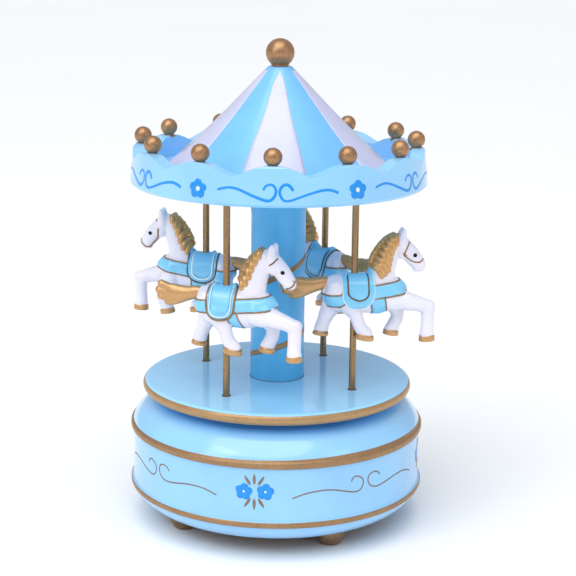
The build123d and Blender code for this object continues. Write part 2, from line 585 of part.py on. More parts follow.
with BuildPart() as finial_ball:
    with Locations((0, 0, FINIAL_Z)):
        Sphere(FINIAL_R)
    split(bisect_by=Plane.XY.offset(CONE_TOP_Z), keep=Keep.TOP)
    with Locations((0, 0, CONE_TOP_Z + 0.5)):
        Cylinder(1.5, 4.1, align=(Align.CENTER, Align.CENTER, Align.MAX))
save(finial_ball, "finial_ball")

# ---------------------------------------------------------------- horse moulding
# local frame: X forward, Z up with the saddle top at 28.3, pole axis at x = 0, y = 0


def ellipse_plane(x, y, z, nx, nz, ny=0.0):
    """Plane at (x, y, z) facing (nx, ny, nz) with its local X along the horse's width."""
    return Plane(origin=(x, y, z), x_dir=(0, 1, 0), z_dir=(nx, ny, nz))


def skin(sections):
    """Loft through elliptical sections (x, y, z, nx, nz, half width, half height)."""
    rings = []
    for x, y, z, nx, nz, hw, hh in sections:
        with BuildSketch(ellipse_plane(x, y, z, nx, nz)) as ring:
            Ellipse(hw, hh)
        rings.append(ring.sketch)
    loft(sections=rings)


BODY = [(-12.3, 22.4, 2.0, 3.2), (-11.0, 22.0, 4.2, 5.6), (-7.3, 21.3, 5.3, 6.9), (-2.0, 20.8, 5.1, 7.1),
        (4.0, 20.8, 5.1, 7.1), (10.0, 21.2, 5.1, 7.4), (15.5, 21.6, 4.5, 6.3), (19.4, 21.6, 3.3, 4.2),
        (20.9, 21.5, 1.6, 2.2)]


def trunk(grow):
    """The barrel of the body, grown outward for the harness layers."""
    skin([(x, 0, z, 1, 0, hw + grow, hh + grow) for x, z, hw, hh in BODY])


def limb(points):
    """Tapered segments with a ball at each joint; points are (x, y, z, radius)."""
    for p, q in zip(points, points[1:]):
        d = (q[0] - p[0], q[1] - p[1], q[2] - p[2])
        length = (d[0] ** 2 + d[1] ** 2 + d[2] ** 2) ** 0.5
        with Locations(Plane(origin=p[:3], z_dir=d)):
            Cone(p[3], q[3], length, align=(Align.CENTER, Align.CENTER, Align.MIN))
    for p in points[1:]:
        with Locations(p[:3]):
            Sphere(p[3] * 1.06)


def hoof(x, y, z, lean, r0=1.25, r1=2.05, h=2.9):
    """Hoof cone from its top centre (x, y, z), tilted by lean degrees about Y."""
    with Locations(Location((x, y, z), (0, lean, 0))):
        Cone(r1, r0, h, align=(Align.CENTER, Align.CENTER, Align.MAX))


with BuildPart() as trunk_plain:
    trunk(0.0)
layers = []
for grow, cuts in ((0.35, ((4.2, 0, 18.0, 5.0, 14, 12.0),)),
                   (0.4, ((13.5, 0, 21.8, 18.0, 14, 4.4), (-9.5, 0, 21.8, 9.0, 14, 4.4))),
                   (0.6, ((0.6, 0, 23.6, 12.2, 14, 13.0),)),
                   (0.95, ((0.7, 0, 24.6, 7.8, 14, 11.0),))):
    for cut in cuts:
        with BuildPart() as layer:
            trunk(grow)
            with Locations(cut[:3]):
                Box(*cut[3:], mode=Mode.INTERSECT)
        layers.append(layer.part)

with BuildPart() as neck:
    skin([(10.0, 0, 24.5, 0.1, 1, 4.4, 6.4), (11.2, 0, 30.6, 0.15, 1, 3.7, 4.9),
          (12.8, 0, 36.6, 0.3, 1, 3.2, 4.1), (14.8, 0, 41.4, 0.5, 1, 2.6, 3.0)])
with BuildPart() as head:
    skin([(14.5, 0, 43.1, 0.55, -0.83, 1.7, 2.0), (15.8, 0, 41.2, 0.55, -0.83, 2.6, 3.5),
          (17.8, 0, 38.4, 0.55, -0.83, 2.9, 4.1), (20.1, 0, 35.1, 0.55, -0.83, 2.4, 3.5),
          (22.2, 0, 32.1, 0.55, -0.83, 2.1, 2.8), (23.6, 0, 30.2, 0.55, -0.83, 1.9, 2.4),
          (24.3, 0, 29.2, 0.55, -0.83, 1.1, 1.3)])
with BuildPart() as tail:
    skin([(-9.8, 0, 25.7, -1, 0, 1.4, 1.8), (-14.5, 0, 25.1, -1, 0, 1.6, 2.5), (-18.3, 0, 24.2, -1, 0, 1.9, 3.1),
          (-22.2, 0, 23.7, -1, 0, 2.1, 4.4), (-25.4, 0, 24.7, -1, 0, 1.6, 3.5), (-26.9, 0, 25.0, -1, 0, 0.8, 1.7)])
# legs: right fore reaches forward, left fore is folded back, right hind steps under, left hind kicks
with BuildPart() as right_fore:
    limb([(13.5, -2.4, 20.4, 4.3), (20.2, -3.0, 19.2, 3.5), (26.4, -3.2, 15.8, 2.9), (26.4, -3.2, 10.0, 2.6),
          (26.4, -3.2, 6.0, 2.5)])
with BuildPart() as left_fore:
    limb([(12.0, 2.6, 19.0, 4.0), (17.6, 3.1, 12.8, 2.8), (15.2, 3.2, 7.6, 2.4)])
with BuildPart() as right_hind:
    limb([(-5.8, -2.4, 19.2, 4.8), (-1.4, -3.0, 13.2, 3.2), (3.4, -3.2, 6.8, 2.5)])
with BuildPart() as left_hind:
    limb([(-6.6, 2.4, 19.2, 4.8), (-9.6, 3.0, 13.0, 3.3), (-11.0, 3.2, 8.4, 2.5)])
with BuildPart() as ears:
    for side in (-1, 1):
        with Locations(Plane(origin=(15.6, side * 1.5, 41.6), z_dir=(0.45, side * 0.12, 1))):
            Cone(1.7, 0.5, 4.3, align=(Align.CENTER, Align.CENTER, Align.MIN))
with BuildPart() as mane:
    for i in range(9):
        t = i / 8
        with Locations(*[(12.8 - 5.4 * t, side * (1.3 + 0.6 * t), 43.0 - 12.6 * t) for side in (-1, 1)]):
            Sphere(2.0 + 0.6 * sin(pi * t))
with BuildPart() as hooves:
    hoof(26.4, -3.2, 5.8, 0, 2.55, 2.8, 2.2)
    hoof(15.0, 3.2, 7.0, 10, 2.45, 2.7, 2.2)
    hoof(3.8, -3.2, 6.4, -20, 2.5, 2.9, 2.2)
    hoof(-11.1, 3.2, 7.9, 6, 2.55, 2.8, 2.4)
with BuildPart() as saddle_ends:
    with Locations((5.0, 0, 28.2)):
        Sphere(1.5)
    with Locations(Location((-3.6, 0, 27.8), (0, -18, 0))):
        Box(1.6, 6.4, 2.4)

with BuildPart() as horse_moulding:
    add(trunk_plain.part)
    for piece in layers:
        add(piece)
    for group in (neck, head, tail, right_fore, left_fore, right_hind, left_hind, ears, mane, hooves,
                  saddle_ends):
        add(group.part)

# (pole number, facing angle from +X, nose-up pitch, height of the moulding's datum)
HORSES = [(1, -18.0, 0.0, 66.0), (2, 6.0, 0.3, 68.8), (3, 178.0, 0.0, 68.6), (4, 170.5, 0.8, 68.2)]
for k, heading, pitch, z0 in HORSES:
    px, py, _ = pole_spots[k - 1]
    with BuildPart() as horse:
        with Locations(Location((px, py, z0 + 20.0), (0, 0, heading))):
            with Locations(Location((0, 0, 0), (0, -pitch, 0))):
                with Locations((0, 0, -20.0)):
                    add(horse_moulding.part)
        with Locations((px, py, z0)):
            Cylinder(POLE_R, 40.0, align=(Align.CENTER, Align.CENTER, Align.MIN), mode=Mode.SUBTRACT)
    save(horse, "horse_%d" % k)
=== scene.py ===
import json
import random
from math import acos, cos, degrees, pi, radians, sin, sqrt

import bmesh
import bpy
import numpy as np
from mathutils import Matrix, Vector
from mathutils.bvhtree import BVHTree


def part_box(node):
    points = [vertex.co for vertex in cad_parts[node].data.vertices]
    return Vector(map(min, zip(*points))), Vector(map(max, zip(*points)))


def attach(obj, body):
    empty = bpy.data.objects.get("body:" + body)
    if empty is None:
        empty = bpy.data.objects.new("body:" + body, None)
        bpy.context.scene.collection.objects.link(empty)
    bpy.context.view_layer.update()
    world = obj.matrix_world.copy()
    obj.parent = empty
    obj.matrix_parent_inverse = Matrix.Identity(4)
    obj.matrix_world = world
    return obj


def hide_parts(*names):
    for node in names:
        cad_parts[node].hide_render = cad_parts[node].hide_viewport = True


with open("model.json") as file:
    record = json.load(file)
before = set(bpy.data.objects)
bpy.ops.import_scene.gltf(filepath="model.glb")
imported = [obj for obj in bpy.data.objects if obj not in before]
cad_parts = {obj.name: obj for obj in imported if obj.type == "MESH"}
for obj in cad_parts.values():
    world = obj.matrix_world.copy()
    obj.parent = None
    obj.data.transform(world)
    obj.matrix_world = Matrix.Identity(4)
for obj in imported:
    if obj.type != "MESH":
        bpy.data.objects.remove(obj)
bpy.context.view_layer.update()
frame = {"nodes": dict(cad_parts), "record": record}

MM = 0.001        # one millimetre in metres
TO_MM = 1000.0    # metres to millimetres
HALF_MM = TO_MM / 2    # turns the sum of two box corners into their middle
NODES = frame["nodes"]


# ---------------------------------------------------------------- materials
class Mat:
    """One procedural material: a Principled shader and a few short ways to feed it."""

    def __init__(self, name, **sockets):
        self.mat = bpy.data.materials.new(name)
        self.mat.use_nodes = True
        self.nt = self.mat.node_tree
        self.nt.nodes.clear()
        out = self.nt.nodes.new("ShaderNodeOutputMaterial")
        self.bsdf = self.nt.nodes.new("ShaderNodeBsdfPrincipled")
        self.nt.links.new(self.bsdf.outputs["BSDF"], out.inputs["Surface"])
        self.coords = self.nt.nodes.new("ShaderNodeTexCoord").outputs["Object"]
        self.normal = None
        for key, value in sockets.items():
            self.bsdf.inputs[key.replace("_", " ")].default_value = value

    def set(self, socket, source):
        self.nt.links.new(source, self.bsdf.inputs[socket])

    def stretch(self, sx, sy, sz):
        node = self.nt.nodes.new("ShaderNodeMapping")
        node.inputs["Scale"].default_value = (sx, sy, sz)
        self.nt.links.new(self.coords, node.inputs["Vector"])
        return node.outputs["Vector"]

    def noise(self, per_mm, detail=3.0, rough=0.55, coords=None, distortion=0.0):
        node = self.nt.nodes.new("ShaderNodeTexNoise")
        node.inputs["Scale"].default_value = per_mm * TO_MM
        node.inputs["Detail"].default_value = detail
        node.inputs["Roughness"].default_value = rough
        node.inputs["Distortion"].default_value = distortion
        self.nt.links.new(coords or self.coords, node.inputs["Vector"])
        return node.outputs["Fac"]

    def cells(self, per_mm, coords=None):
        node = self.nt.nodes.new("ShaderNodeTexVoronoi")
        node.inputs["Scale"].default_value = per_mm * TO_MM
        self.nt.links.new(coords or self.coords, node.inputs["Vector"])
        return node.outputs["Distance"]

    def ramp(self, fac, *stops):
        node = self.nt.nodes.new("ShaderNodeValToRGB")
        ramp = node.color_ramp
        while len(ramp.elements) < len(stops):
            ramp.elements.new(0.5)
        for element, (pos, value) in zip(ramp.elements, stops):
            element.position = pos
            element.color = value if isinstance(value, tuple) else (value, value, value, 1)
        self.nt.links.new(fac, node.inputs["Fac"])
        return node.outputs["Color"]

    def mix(self, fac, a, b, how="MIX"):
        node = self.nt.nodes.new("ShaderNodeMix")
        node.data_type, node.blend_type = "RGBA", how
        for value, socket in ((fac, node.inputs[0]), (a, node.inputs[6]), (b, node.inputs[7])):
            if isinstance(value, bpy.types.NodeSocket):
                self.nt.links.new(value, socket)
            else:
                socket.default_value = value
        return node.outputs[2]

    def bump(self, height, strength, distance_mm):
        node = self.nt.nodes.new("ShaderNodeBump")
        node.inputs["Strength"].default_value = strength
        node.inputs["Distance"].default_value = distance_mm * MM
        self.nt.links.new(height, node.inputs["Height"])
        if self.normal is not None:
            self.nt.links.new(self.normal, node.inputs["Normal"])
        self.normal = node.outputs["Normal"]
        self.set("Normal", self.normal)


def srgb(r, g, b):
    """An 8-bit screen colour as a linear shader colour."""
    def line(c):
        c /= 255.0
        return c / 12.92 if c <= 0.04045 else ((c + 0.055) / 1.055) ** 2.4
    return (line(r), line(g), line(b), 1.0)


def shade(colour, k):
    return tuple(min(1.0, c * k) for c in colour[:3]) + (1.0,)


def lacquer(name, colour, rough=0.16, peel=0.12, coat=0.5, dust=True):
    """Sprayed gloss lacquer: cloudy film thickness, a fine orange peel, stray dust nibs."""
    colour = srgb(*colour)
    m = Mat(name, Roughness=rough, Coat_Weight=coat, Coat_Roughness=0.06)
    m.bsdf.inputs["Specular IOR Level"].default_value = 0.5
    clouds = m.noise(0.045, 3.0)
    film = m.ramp(clouds, (0.3, shade(colour, 0.93)), (0.52, colour), (0.75, shade(colour, 1.05)))
    fine = m.noise(0.9, 2.0)
    film = m.mix(m.ramp(fine, (0.45, 0.0), (0.8, 0.10)), film, shade(colour, 0.86))
    if dust:
        nibs = m.ramp(m.cells(0.16), (0.0, 1.0), (0.022, 1.0), (0.030, 0.0))
        few = m.ramp(m.noise(0.05, 1.0), (0.60, 0.0), (0.63, 0.85))
        nib = m.mix(1.0, nibs, few, "MULTIPLY")
        film = m.mix(nib, film, srgb(70, 110, 160))
    m.set("Base Color", film)
    m.set("Roughness", m.ramp(m.noise(0.12, 4.0), (0.3, rough * 0.75), (0.7, rough * 1.5)))
    m.bump(m.noise(0.55, 2.0), peel, 0.10)
    return m.mat


def gilt(name, colour, dark, metal=0.7, rough=0.36, grain=0.9, specks=True, pits=0.35, mottle=0.5):
    """Bronze-gold paint: metal flake, brushed-on unevenness, dark nicks and pin holes."""
    colour, dark = srgb(*colour), srgb(*dark)
    m = Mat(name, Metallic=metal, Roughness=rough)
    clouds = m.noise(0.12, 4.0)
    flake = m.noise(grain * 4.0, 2.0, 0.7)
    base = m.ramp(clouds, (0.28, shade(colour, 1 - 0.3 * mottle)), (0.55, colour),
                  (0.78, shade(colour, 1 + 0.3 * mottle)))
    base = m.mix(m.ramp(flake, (0.40, 0.0), (0.75, 0.45 * mottle)), base, shade(colour, 1.4))
    base = m.mix(m.ramp(m.noise(grain, 3.0), (0.32, 0.7 * mottle), (0.52, 0.0)), base, dark)
    if specks:
        holes = m.ramp(m.cells(0.55), (0.0, 1.0), (0.07, 1.0), (0.13, 0.0))
        some = m.ramp(m.noise(0.22, 1.0), (0.50, 0.0), (0.58, 0.8))
        base = m.mix(m.mix(1.0, holes, some, "MULTIPLY"), base, shade(dark, 0.6))
    m.set("Base Color", base)
    m.set("Roughness", m.ramp(flake, (0.3, rough * 0.8), (0.75, rough * 1.35)))
    m.bump(m.noise(grain * 1.4, 3.0), pits, 0.12)
    return m.mat


M_BASE = lacquer("lacquer_sky", (150, 208, 252))
# The turntable's lacquer is lighter and more cyan than the base's: painted reflection of the white surroundings and
# the column on its glossy top.
M_TABLE = lacquer("lacquer_table_painted_reflection", (158, 218, 255), rough=0.10, peel=0.05, coat=0.25)
M_RIM = lacquer("lacquer_rim", (150, 210, 252), rough=0.20)
M_ROOF = lacquer("lacquer_roof_blue", (120, 196, 255), rough=0.26, peel=0.10, dust=False)
M_WHITE_GORE = lacquer("lacquer_roof_white", (206, 208, 238), rough=0.26, peel=0.10, dust=False)
# The column's lacquer is darker than the base's: painted shade from the roof over the column.
M_COLUMN = lacquer("lacquer_column_painted_shade", (92, 190, 242), rough=0.35, coat=0.08)
M_PRINT = lacquer("print_blue", (6, 146, 236), rough=0.28, peel=0.2, coat=0.2, dust=False)
M_PRINT_PALE = lacquer("print_pale", (222, 240, 250), rough=0.3, peel=0.2, coat=0.1, dust=False)
M_HORSE = lacquer("horse_white", (240, 236, 247), rough=0.20, peel=0.22, coat=0.4, dust=False)
M_TACK = lacquer("tack_blue", (134, 212, 248), rough=0.20, peel=0.18, coat=0.4, dust=False)
M_TACK_PALE = lacquer("tack_white_line", (228, 246, 252), rough=0.22, peel=0.1, dust=False)
M_BAND = gilt("gilt_band", (166, 130, 92), (98, 74, 52), metal=0.55, rough=0.40, mottle=0.35)
M_EDGE = gilt("gilt_edge", (186, 148, 104), (112, 86, 58), metal=0.5, rough=0.38, mottle=0.3)
M_BALL = gilt("gilt_ball", (178, 136, 98), (104, 78, 54),
              metal=0.7, rough=0.34, grain=1.2, pits=0.4, mottle=0.5)
M_ROD = gilt("bronze_rod", (158, 127, 92), (96, 74, 52), metal=0.85, rough=0.27, pits=0.12, mottle=0.3)
M_MANE = gilt("gilt_mane", (214, 166, 108), (130, 92, 54),
              metal=0.6, rough=0.28, specks=False, pits=0.10, mottle=0.18)
M_TAIL = gilt("gilt_tail", (206, 160, 110), (128, 92, 56),
              metal=0.55, rough=0.30, specks=False, pits=0.10, mottle=0.18)
M_TRIM = gilt("gilt_trim", (160, 120, 74), (84, 62, 44), metal=0.5, rough=0.4, specks=False)
M_TRIM_DARK = gilt("gilt_trim_dark", (112, 90, 66), (56, 44, 36), metal=0.45, rough=0.4, specks=False)
M_SCROLL = gilt("print_bronze", (138, 120, 100), (110, 92, 74), metal=0.3, rough=0.45, specks=False)
M_FOOT = gilt("foot_antique", (150, 118, 86), (80, 62, 46), metal=0.55, rough=0.4, grain=0.7)
M_EYE = Mat("eye_black", Roughness=0.35)
M_EYE.bsdf.inputs["Specular IOR Level"].default_value = 0.25
M_EYE.set("Base Color", M_EYE.ramp(M_EYE.noise(2.0), (0.3, (0.001, 0.001, 0.002, 1)), (0.8, (0.004, 0.004, 0.005, 1))))
M_EYE.bump(M_EYE.noise(1.5), 0.1, 0.05)
M_EYE = M_EYE.mat


def worn_metal(name, colour, rough, metal=1.0, line=(1, 1, 14)):
    """Turned or drawn metal of the hidden movement: fine tool lines and a dull bloom."""
    colour = srgb(*colour)
    m = Mat(name, Metallic=metal, Roughness=rough)
    lines = m.noise(0.5, 2.0, coords=m.stretch(*line))
    base = m.ramp(lines, (0.3, shade(colour, 0.82)), (0.7, shade(colour, 1.08)))
    base = m.mix(m.ramp(m.noise(0.1, 3.0), (0.45, 0.0), (0.75, 0.3)), base, shade(colour, 0.6))
    m.set("Base Color", base)
    m.set("Roughness", m.ramp(lines, (0.3, rough * 0.8), (0.7, rough * 1.3)))
    m.bump(lines, 0.15, 0.05)
    return m.mat


M_ZINC = worn_metal("cast_zinc", (178, 180, 186), 0.42)
M_STEEL = worn_metal("turned_steel", (150, 152, 158), 0.3)
M_SPRING = worn_metal("blued_spring", (96, 102, 128), 0.26)
M_BRASS = worn_metal("cut_brass", (200, 166, 92), 0.3)
M_SCREW = worn_metal("plated_screw", (188, 182, 168), 0.34)
M_NYLON = Mat("white_nylon", Roughness=0.45)
M_NYLON.set("Base Color", M_NYLON.ramp(M_NYLON.noise(0.3), (0.3, srgb(226, 224, 214)), (0.7, srgb(240, 238, 230))))
M_NYLON.bump(M_NYLON.noise(2.0), 0.15, 0.05)
M_NYLON = M_NYLON.mat
M_BOARD = Mat("hardboard", Roughness=0.8)
board_fibre = M_BOARD.noise(0.9, 6.0, 0.7, M_BOARD.stretch(1, 3, 1))
M_BOARD.set("Base Color", M_BOARD.ramp(board_fibre, (0.25, srgb(92, 66, 44)), (0.5, srgb(122, 90, 60)),
                                       (0.8, srgb(150, 116, 80))))
M_BOARD.bump(board_fibre, 0.35, 0.12)
M_BOARD = M_BOARD.mat

SLOT_LOOK = {
    "zinc": M_ZINC, "steel": M_STEEL, "spring_steel": M_SPRING, "brass": M_BRASS, "nylon": M_NYLON,
    "zinc_screw": M_SCREW, "board": M_BOARD, "antique_gold": M_FOOT, "bronze_rod": M_ROD,
    "lacquer_blue": M_BASE, "lacquer_deep_blue": M_COLUMN, "lacquer_roof": M_ROOF, "horse_paint": M_HORSE,
}
NODE_LOOK = {"turntable": M_TABLE, "canopy_ring": M_RIM}


def dress_cad_nodes():
    """Gives every carried-over CAD node a finish, by the record's slot names."""
    looks = {}
    for row in frame["record"]["subparts"]:
        looks[row["node"]] = SLOT_LOOK[row["material_slot"]]
    looks.update(NODE_LOOK)
    for n, o in NODES.items():
        look = looks.get(n, M_STEEL)
        if not o.data.materials:
            o.data.materials.append(look)
        for s in o.material_slots:
            s.material = look
        for p in o.data.polygons:
            p.use_smooth = True
        o.modifiers.new("corners", "EDGE_SPLIT").split_angle = radians(35)


dress_cad_nodes()


# ---------------------------------------------------------------- mesh kit
class Shell:
    """Closed pieces gathered into one mesh, in millimetres."""

    def __init__(self):
        self.v, self.f = [], []

    def grid(self, rows, wrap_rows=False, wrap_cols=True, caps=True):
        """Rings of points, an (n, m, 3) array, joined by quads, with both ends closed."""
        rows = np.asarray(rows, float)
        n, m = rows.shape[:2]
        base = len(self.v)
        self.v.extend(map(tuple, rows.reshape(-1, 3)))
        for i in range(n if wrap_rows else n - 1):
            for j in range(m if wrap_cols else m - 1):
                a, b = i * m + j, i * m + (j + 1) % m
                c, d = ((i + 1) % n) * m + (j + 1) % m, ((i + 1) % n) * m + j
                self.f.append((base + a, base + b, base + c, base + d))
        if caps and not wrap_rows:
            for i, flip in ((0, True), (n - 1, False)):
                mid = len(self.v)
                self.v.append(tuple(rows[i].mean(0)))
                for j in range(m):
                    a, b = base + i * m + j, base + i * m + (j + 1) % m
                    self.f.append((mid, b, a) if flip else (mid, a, b))
        return self

    def mesh(self, name):
        me = bpy.data.meshes.new(name)
        me.from_pydata([tuple(c * MM for c in v) for v in self.v], [], self.f)
        bm = bmesh.new()
        bm.from_mesh(me)
        bmesh.ops.recalc_face_normals(bm, faces=bm.faces)
        bm.to_mesh(me)
        bm.free()
        for p in me.polygons:
            p.use_smooth = True
        return me


def curve(points, per=8, closed=False):
    """A smooth run through the points, any number of columns."""
    p = np.array(points, float)
    n = len(p)
    out = []
    for i in range(n if closed else n - 1):
        a, b, c, d = (p[(i + k) % n] if closed else p[min(max(i + k, 0), n - 1)] for k in (-1, 0, 1, 2))
        for j in range(per):
            t = j / per
            out.append(0.5 * (2 * b + (c - a) * t + (2 * a - 5 * b + 4 * c - d) * t * t
                              + (3 * b - a - 3 * c + d) * t ** 3))
    if not closed:
        out.append(p[-1])
    return np.array(out)


def around(n):
    """n even steps round a full turn."""
    return np.linspace(0, 2 * pi, n, endpoint=False)


def put(name, data):
    o = bpy.data.objects.new(name, data)
    bpy.context.scene.collection.objects.link(o)
    return o


def centre_mm(node):
    lo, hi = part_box(node)
    return (lo.x + hi.x) * HALF_MM, (lo.y + hi.y) * HALF_MM


def unit(a):
    return a / np.maximum(np.linalg.norm(a, axis=-1, keepdims=True), 1e-9)


def tangents(path, closed=False):
    if closed:
        return unit(np.roll(path, -1, 0) - np.roll(path, 1, 0))
    return unit(np.gradient(path, axis=0))


def tube(shell, path, radius, side=None, flat=1.0, sides=12, closed=False, round_ends=True):
    """A rod along path. side gives each point's surface normal, and flat the rod's height over its width."""
    path = np.asarray(path, float)
    n = len(path)
    r = np.full(n, float(radius)) if np.ndim(radius) == 0 else np.asarray(radius, float)
    if round_ends and not closed:
        t = tangents(path)
        grow = [(1.0, 0.05), (0.86, 0.5), (0.5, 0.86)]
        head = [path[0] - t[0] * r[0] * a for a, _ in grow]
        tail = [path[-1] + t[-1] * r[-1] * a for a, _ in reversed(grow)]
        path = np.vstack([head, path, tail])
        r = np.concatenate([[r[0] * b for _, b in grow], r, [r[-1] * b for _, b in reversed(grow)]])
        if side is not None:
            side = np.vstack([[side[0]] * 3, side, [side[-1]] * 3])
    t = tangents(path, closed)
    if side is None:
        up = np.array([0.0, 1.0, 0.0])
        side = np.tile(up, (len(path), 1))
    nrm = unit(side - (side * t).sum(1, keepdims=True) * t)
    bi = np.cross(t, nrm)
    a = around(sides)
    ring = (path[:, None] + r[:, None, None] * (np.cos(a)[None, :, None] * bi[:, None]
            + flat * np.sin(a)[None, :, None] * nrm[:, None]))
    shell.grid(ring, wrap_rows=closed, caps=not closed)


def loft(shell, sections, per=6, sides=32, axis=None):
    """A form on a spine in the x-z plane: sections (x, y, z, half width across, half height)."""
    s = curve(sections, per)
    path = s[:, :3]
    t = tangents(path) if axis is None else np.tile(unit(np.array(axis, float)), (len(s), 1))
    t[:, 1] = 0
    t = unit(t)
    across = np.tile([0.0, 1.0, 0.0], (len(s), 1))
    up = np.cross(t, across)
    hw, hh = s[:, 3], s[:, 4]
    grow = [(1.0, 0.08), (0.8, 0.6), (0.45, 0.88)]
    reach0, reach1 = min(hw[0], hh[0]) * 0.6, min(hw[-1], hh[-1]) * 0.6
    path = np.vstack([[path[0] - t[0] * reach0 * a for a, _ in grow], path,
                      [path[-1] + t[-1] * reach1 * a for a, _ in reversed(grow)]])
    k = np.concatenate([[b for _, b in grow], np.ones(len(s)), [b for _, b in reversed(grow)]])
    pad = lambda x: np.concatenate([[x[0]] * 3, x, [x[-1]] * 3])
    hw, hh, across, up = pad(hw) * k, pad(hh) * k, pad(across), pad(up)
    a = around(sides)
    rings = (path[:, None] + np.cos(a)[None, :, None] * (hw[:, None] * across)[:, None]
             + np.sin(a)[None, :, None] * (hh[:, None] * up)[:, None])
    shell.grid(rings)


def capsule(shell, a, b, ra, rb, sides=24):
    a, b = np.array(a, float), np.array(b, float)
    axis = unit(b - a)
    other = np.array([0, 1.0, 0]) if abs(axis[1]) < 0.9 else np.array([1.0, 0, 0])
    u = unit(np.cross(axis, other))
    w = np.cross(axis, u)
    rows = []
    ang = around(sides)
    circle = np.cos(ang)[:, None] * u + np.sin(ang)[:, None] * w
    for e in np.linspace(-88, 0, 8):
        rows.append(a + axis * ra * sin(radians(e)) + circle * ra * cos(radians(e)))
    for e in np.linspace(0, 88, 8):
        rows.append(b + axis * rb * sin(radians(e)) + circle * rb * cos(radians(e)))
    shell.grid(np.array(rows))


def limb(shell, points, slim=0.8):
    """Tapered lengths joined at the joints, narrower across the horse than along it."""
    for k, (p, q) in enumerate(zip(points, points[1:])):
        start = len(shell.v)
        capsule(shell, p[:3], q[:3], p[3], q[3])
        mid = (p[1] + q[1]) / 2
        narrow = slim if k == 0 else 0.94
        shell.v[start:] = [(x, mid + (y - mid) * narrow, z) for x, y, z in shell.v[start:]]


def blob(shell, c, rx, ry, rz):
    a = around(20)
    rows = [[(c[0] + rx * cos(e) * cos(t), c[1] + ry * cos(e) * sin(t), c[2] + rz * sin(e))
             for t in a] for e in np.radians(np.linspace(-86, 86, 13))]
    shell.grid(np.array(rows))


def slab(shell, P, N, top, bottom, wrap=False, soft=True):
    """A thin closed sheet over the points P with normals N: top above the surface, bottom under it."""
    P, N = np.asarray(P, float), np.asarray(N, float)
    n, m = P.shape[:2]
    h = np.full((n, m), float(top)) if np.ndim(top) == 0 else np.array(top, float)
    if soft:
        k = np.ones((n, m))
        for edge, weight in ((0, 0.35), (-1, 0.35), (1, 0.85), (-2, 0.85)):
            k[:, edge] *= weight
            if not wrap:
                k[edge] *= weight
        h = h * k
    T, B = P + N * h[..., None], P - N * bottom
    base = len(shell.v)
    shell.v.extend(map(tuple, T.reshape(-1, 3)))
    shell.v.extend(map(tuple, B.reshape(-1, 3)))
    off = n * m

    def quad(a, b, c, d):
        shell.f.append((base + a, base + b, base + c, base + d))
    for i in range(n if wrap else n - 1):
        i2 = (i + 1) % n
        for j in range(m - 1):
            a, b, c, d = i * m + j, i * m + j + 1, i2 * m + j + 1, i2 * m + j
            quad(a, b, c, d)
            quad(off + d, off + c, off + b, off + a)
        for j, s in ((0, 1), (m - 1, -1)):
            a, d = i * m + j, i2 * m + j
            quad(*((a, d, off + d, off + a) if s > 0 else (d, a, off + a, off + d)))
    if not wrap:
        for i, s in ((0, -1), (n - 1, 1)):
            for j in range(m - 1):
                a, b = i * m + j, i * m + j + 1
                quad(*((a, b, off + b, off + a) if s < 0 else (b, a, off + a, off + b)))


def piece(name, mesh, look, body, replaces=(), matrix=None):
    """One finished object on its CAD body, from a mesh or a Shell."""
    if isinstance(mesh, Shell):
        mesh = mesh.mesh(name)
    o = put(name, mesh)
    if not mesh.materials:
        mesh.materials.append(look)
    if matrix is not None:
        o.matrix_world = matrix
    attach(o, body)
    if replaces:
        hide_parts(*replaces)
    return o


def moulded(shell, name, voxel, rounds, keep):
    """Fuses overlapping forms into one skin, as one moulding, and returns it in millimetres."""
    me = bpy.data.meshes.new(name)
    me.from_pydata(shell.v, [], shell.f)
    o = put(name, me)
    remesh = o.modifiers.new("fuse", "REMESH")
    remesh.mode, remesh.voxel_size, remesh.adaptivity = "VOXEL", voxel, 0.0
    smooth = o.modifiers.new("soften", "SMOOTH")
    smooth.factor, smooth.iterations = 0.5, rounds
    if keep < 1:
        thin = o.modifiers.new("thin", "DECIMATE")
        thin.ratio = keep
    dg = bpy.context.evaluated_depsgraph_get()
    out = bpy.data.meshes.new_from_object(o.evaluated_get(dg), depsgraph=dg)
    bpy.data.objects.remove(o)
    bpy.data.meshes.remove(me)
    out.name = name
    for p in out.polygons:
        p.use_smooth = True
    return out


def read(me, what="co"):
    """Every vertex's place, or its normal, as rows of three."""
    out = np.empty(len(me.vertices) * 3)
    me.vertices.foreach_get(what, out)
    return out.reshape(-1, 3)


def set_coords(me, co):
    me.vertices.foreach_set("co", np.ascontiguousarray(co, float).ravel())
    me.update()


def tree_of(me, scale=1.0):
    co = read(me) * scale
    return BVHTree.FromPolygons([tuple(c) for c in co], [tuple(p.vertices) for p in me.polygons])


# ---------------------------------------------------------------- paint on turned surfaces
class Turned:
    """The outside of a CAD node, met by rays aimed at the upright axis."""

    def __init__(self, node, reach):
        self.tree = tree_of(NODES[node].data, TO_MM)
        self.reach = reach

    def at(self, theta, z):
        """theta in degrees, right of the front (-Y); returns the surface point and its normal."""
        a = radians(theta - 90.0)
        out = Vector((cos(a), sin(a), 0.0))
        hit, nrm, _, _ = self.tree.ray_cast(out * self.reach + Vector((0, 0, z)), -out)
        if nrm.dot(out) < 0:
            nrm = -nrm
        return np.array(hit), np.array(nrm)

    def grid(self, thetas, zs):
        P, N = zip(*(self.at(t, z) for t, z in zip(np.ravel(thetas), np.ravel(zs))))
        shape = np.shape(thetas) + (3,)
        return np.array(P).reshape(shape), np.array(N).reshape(shape)


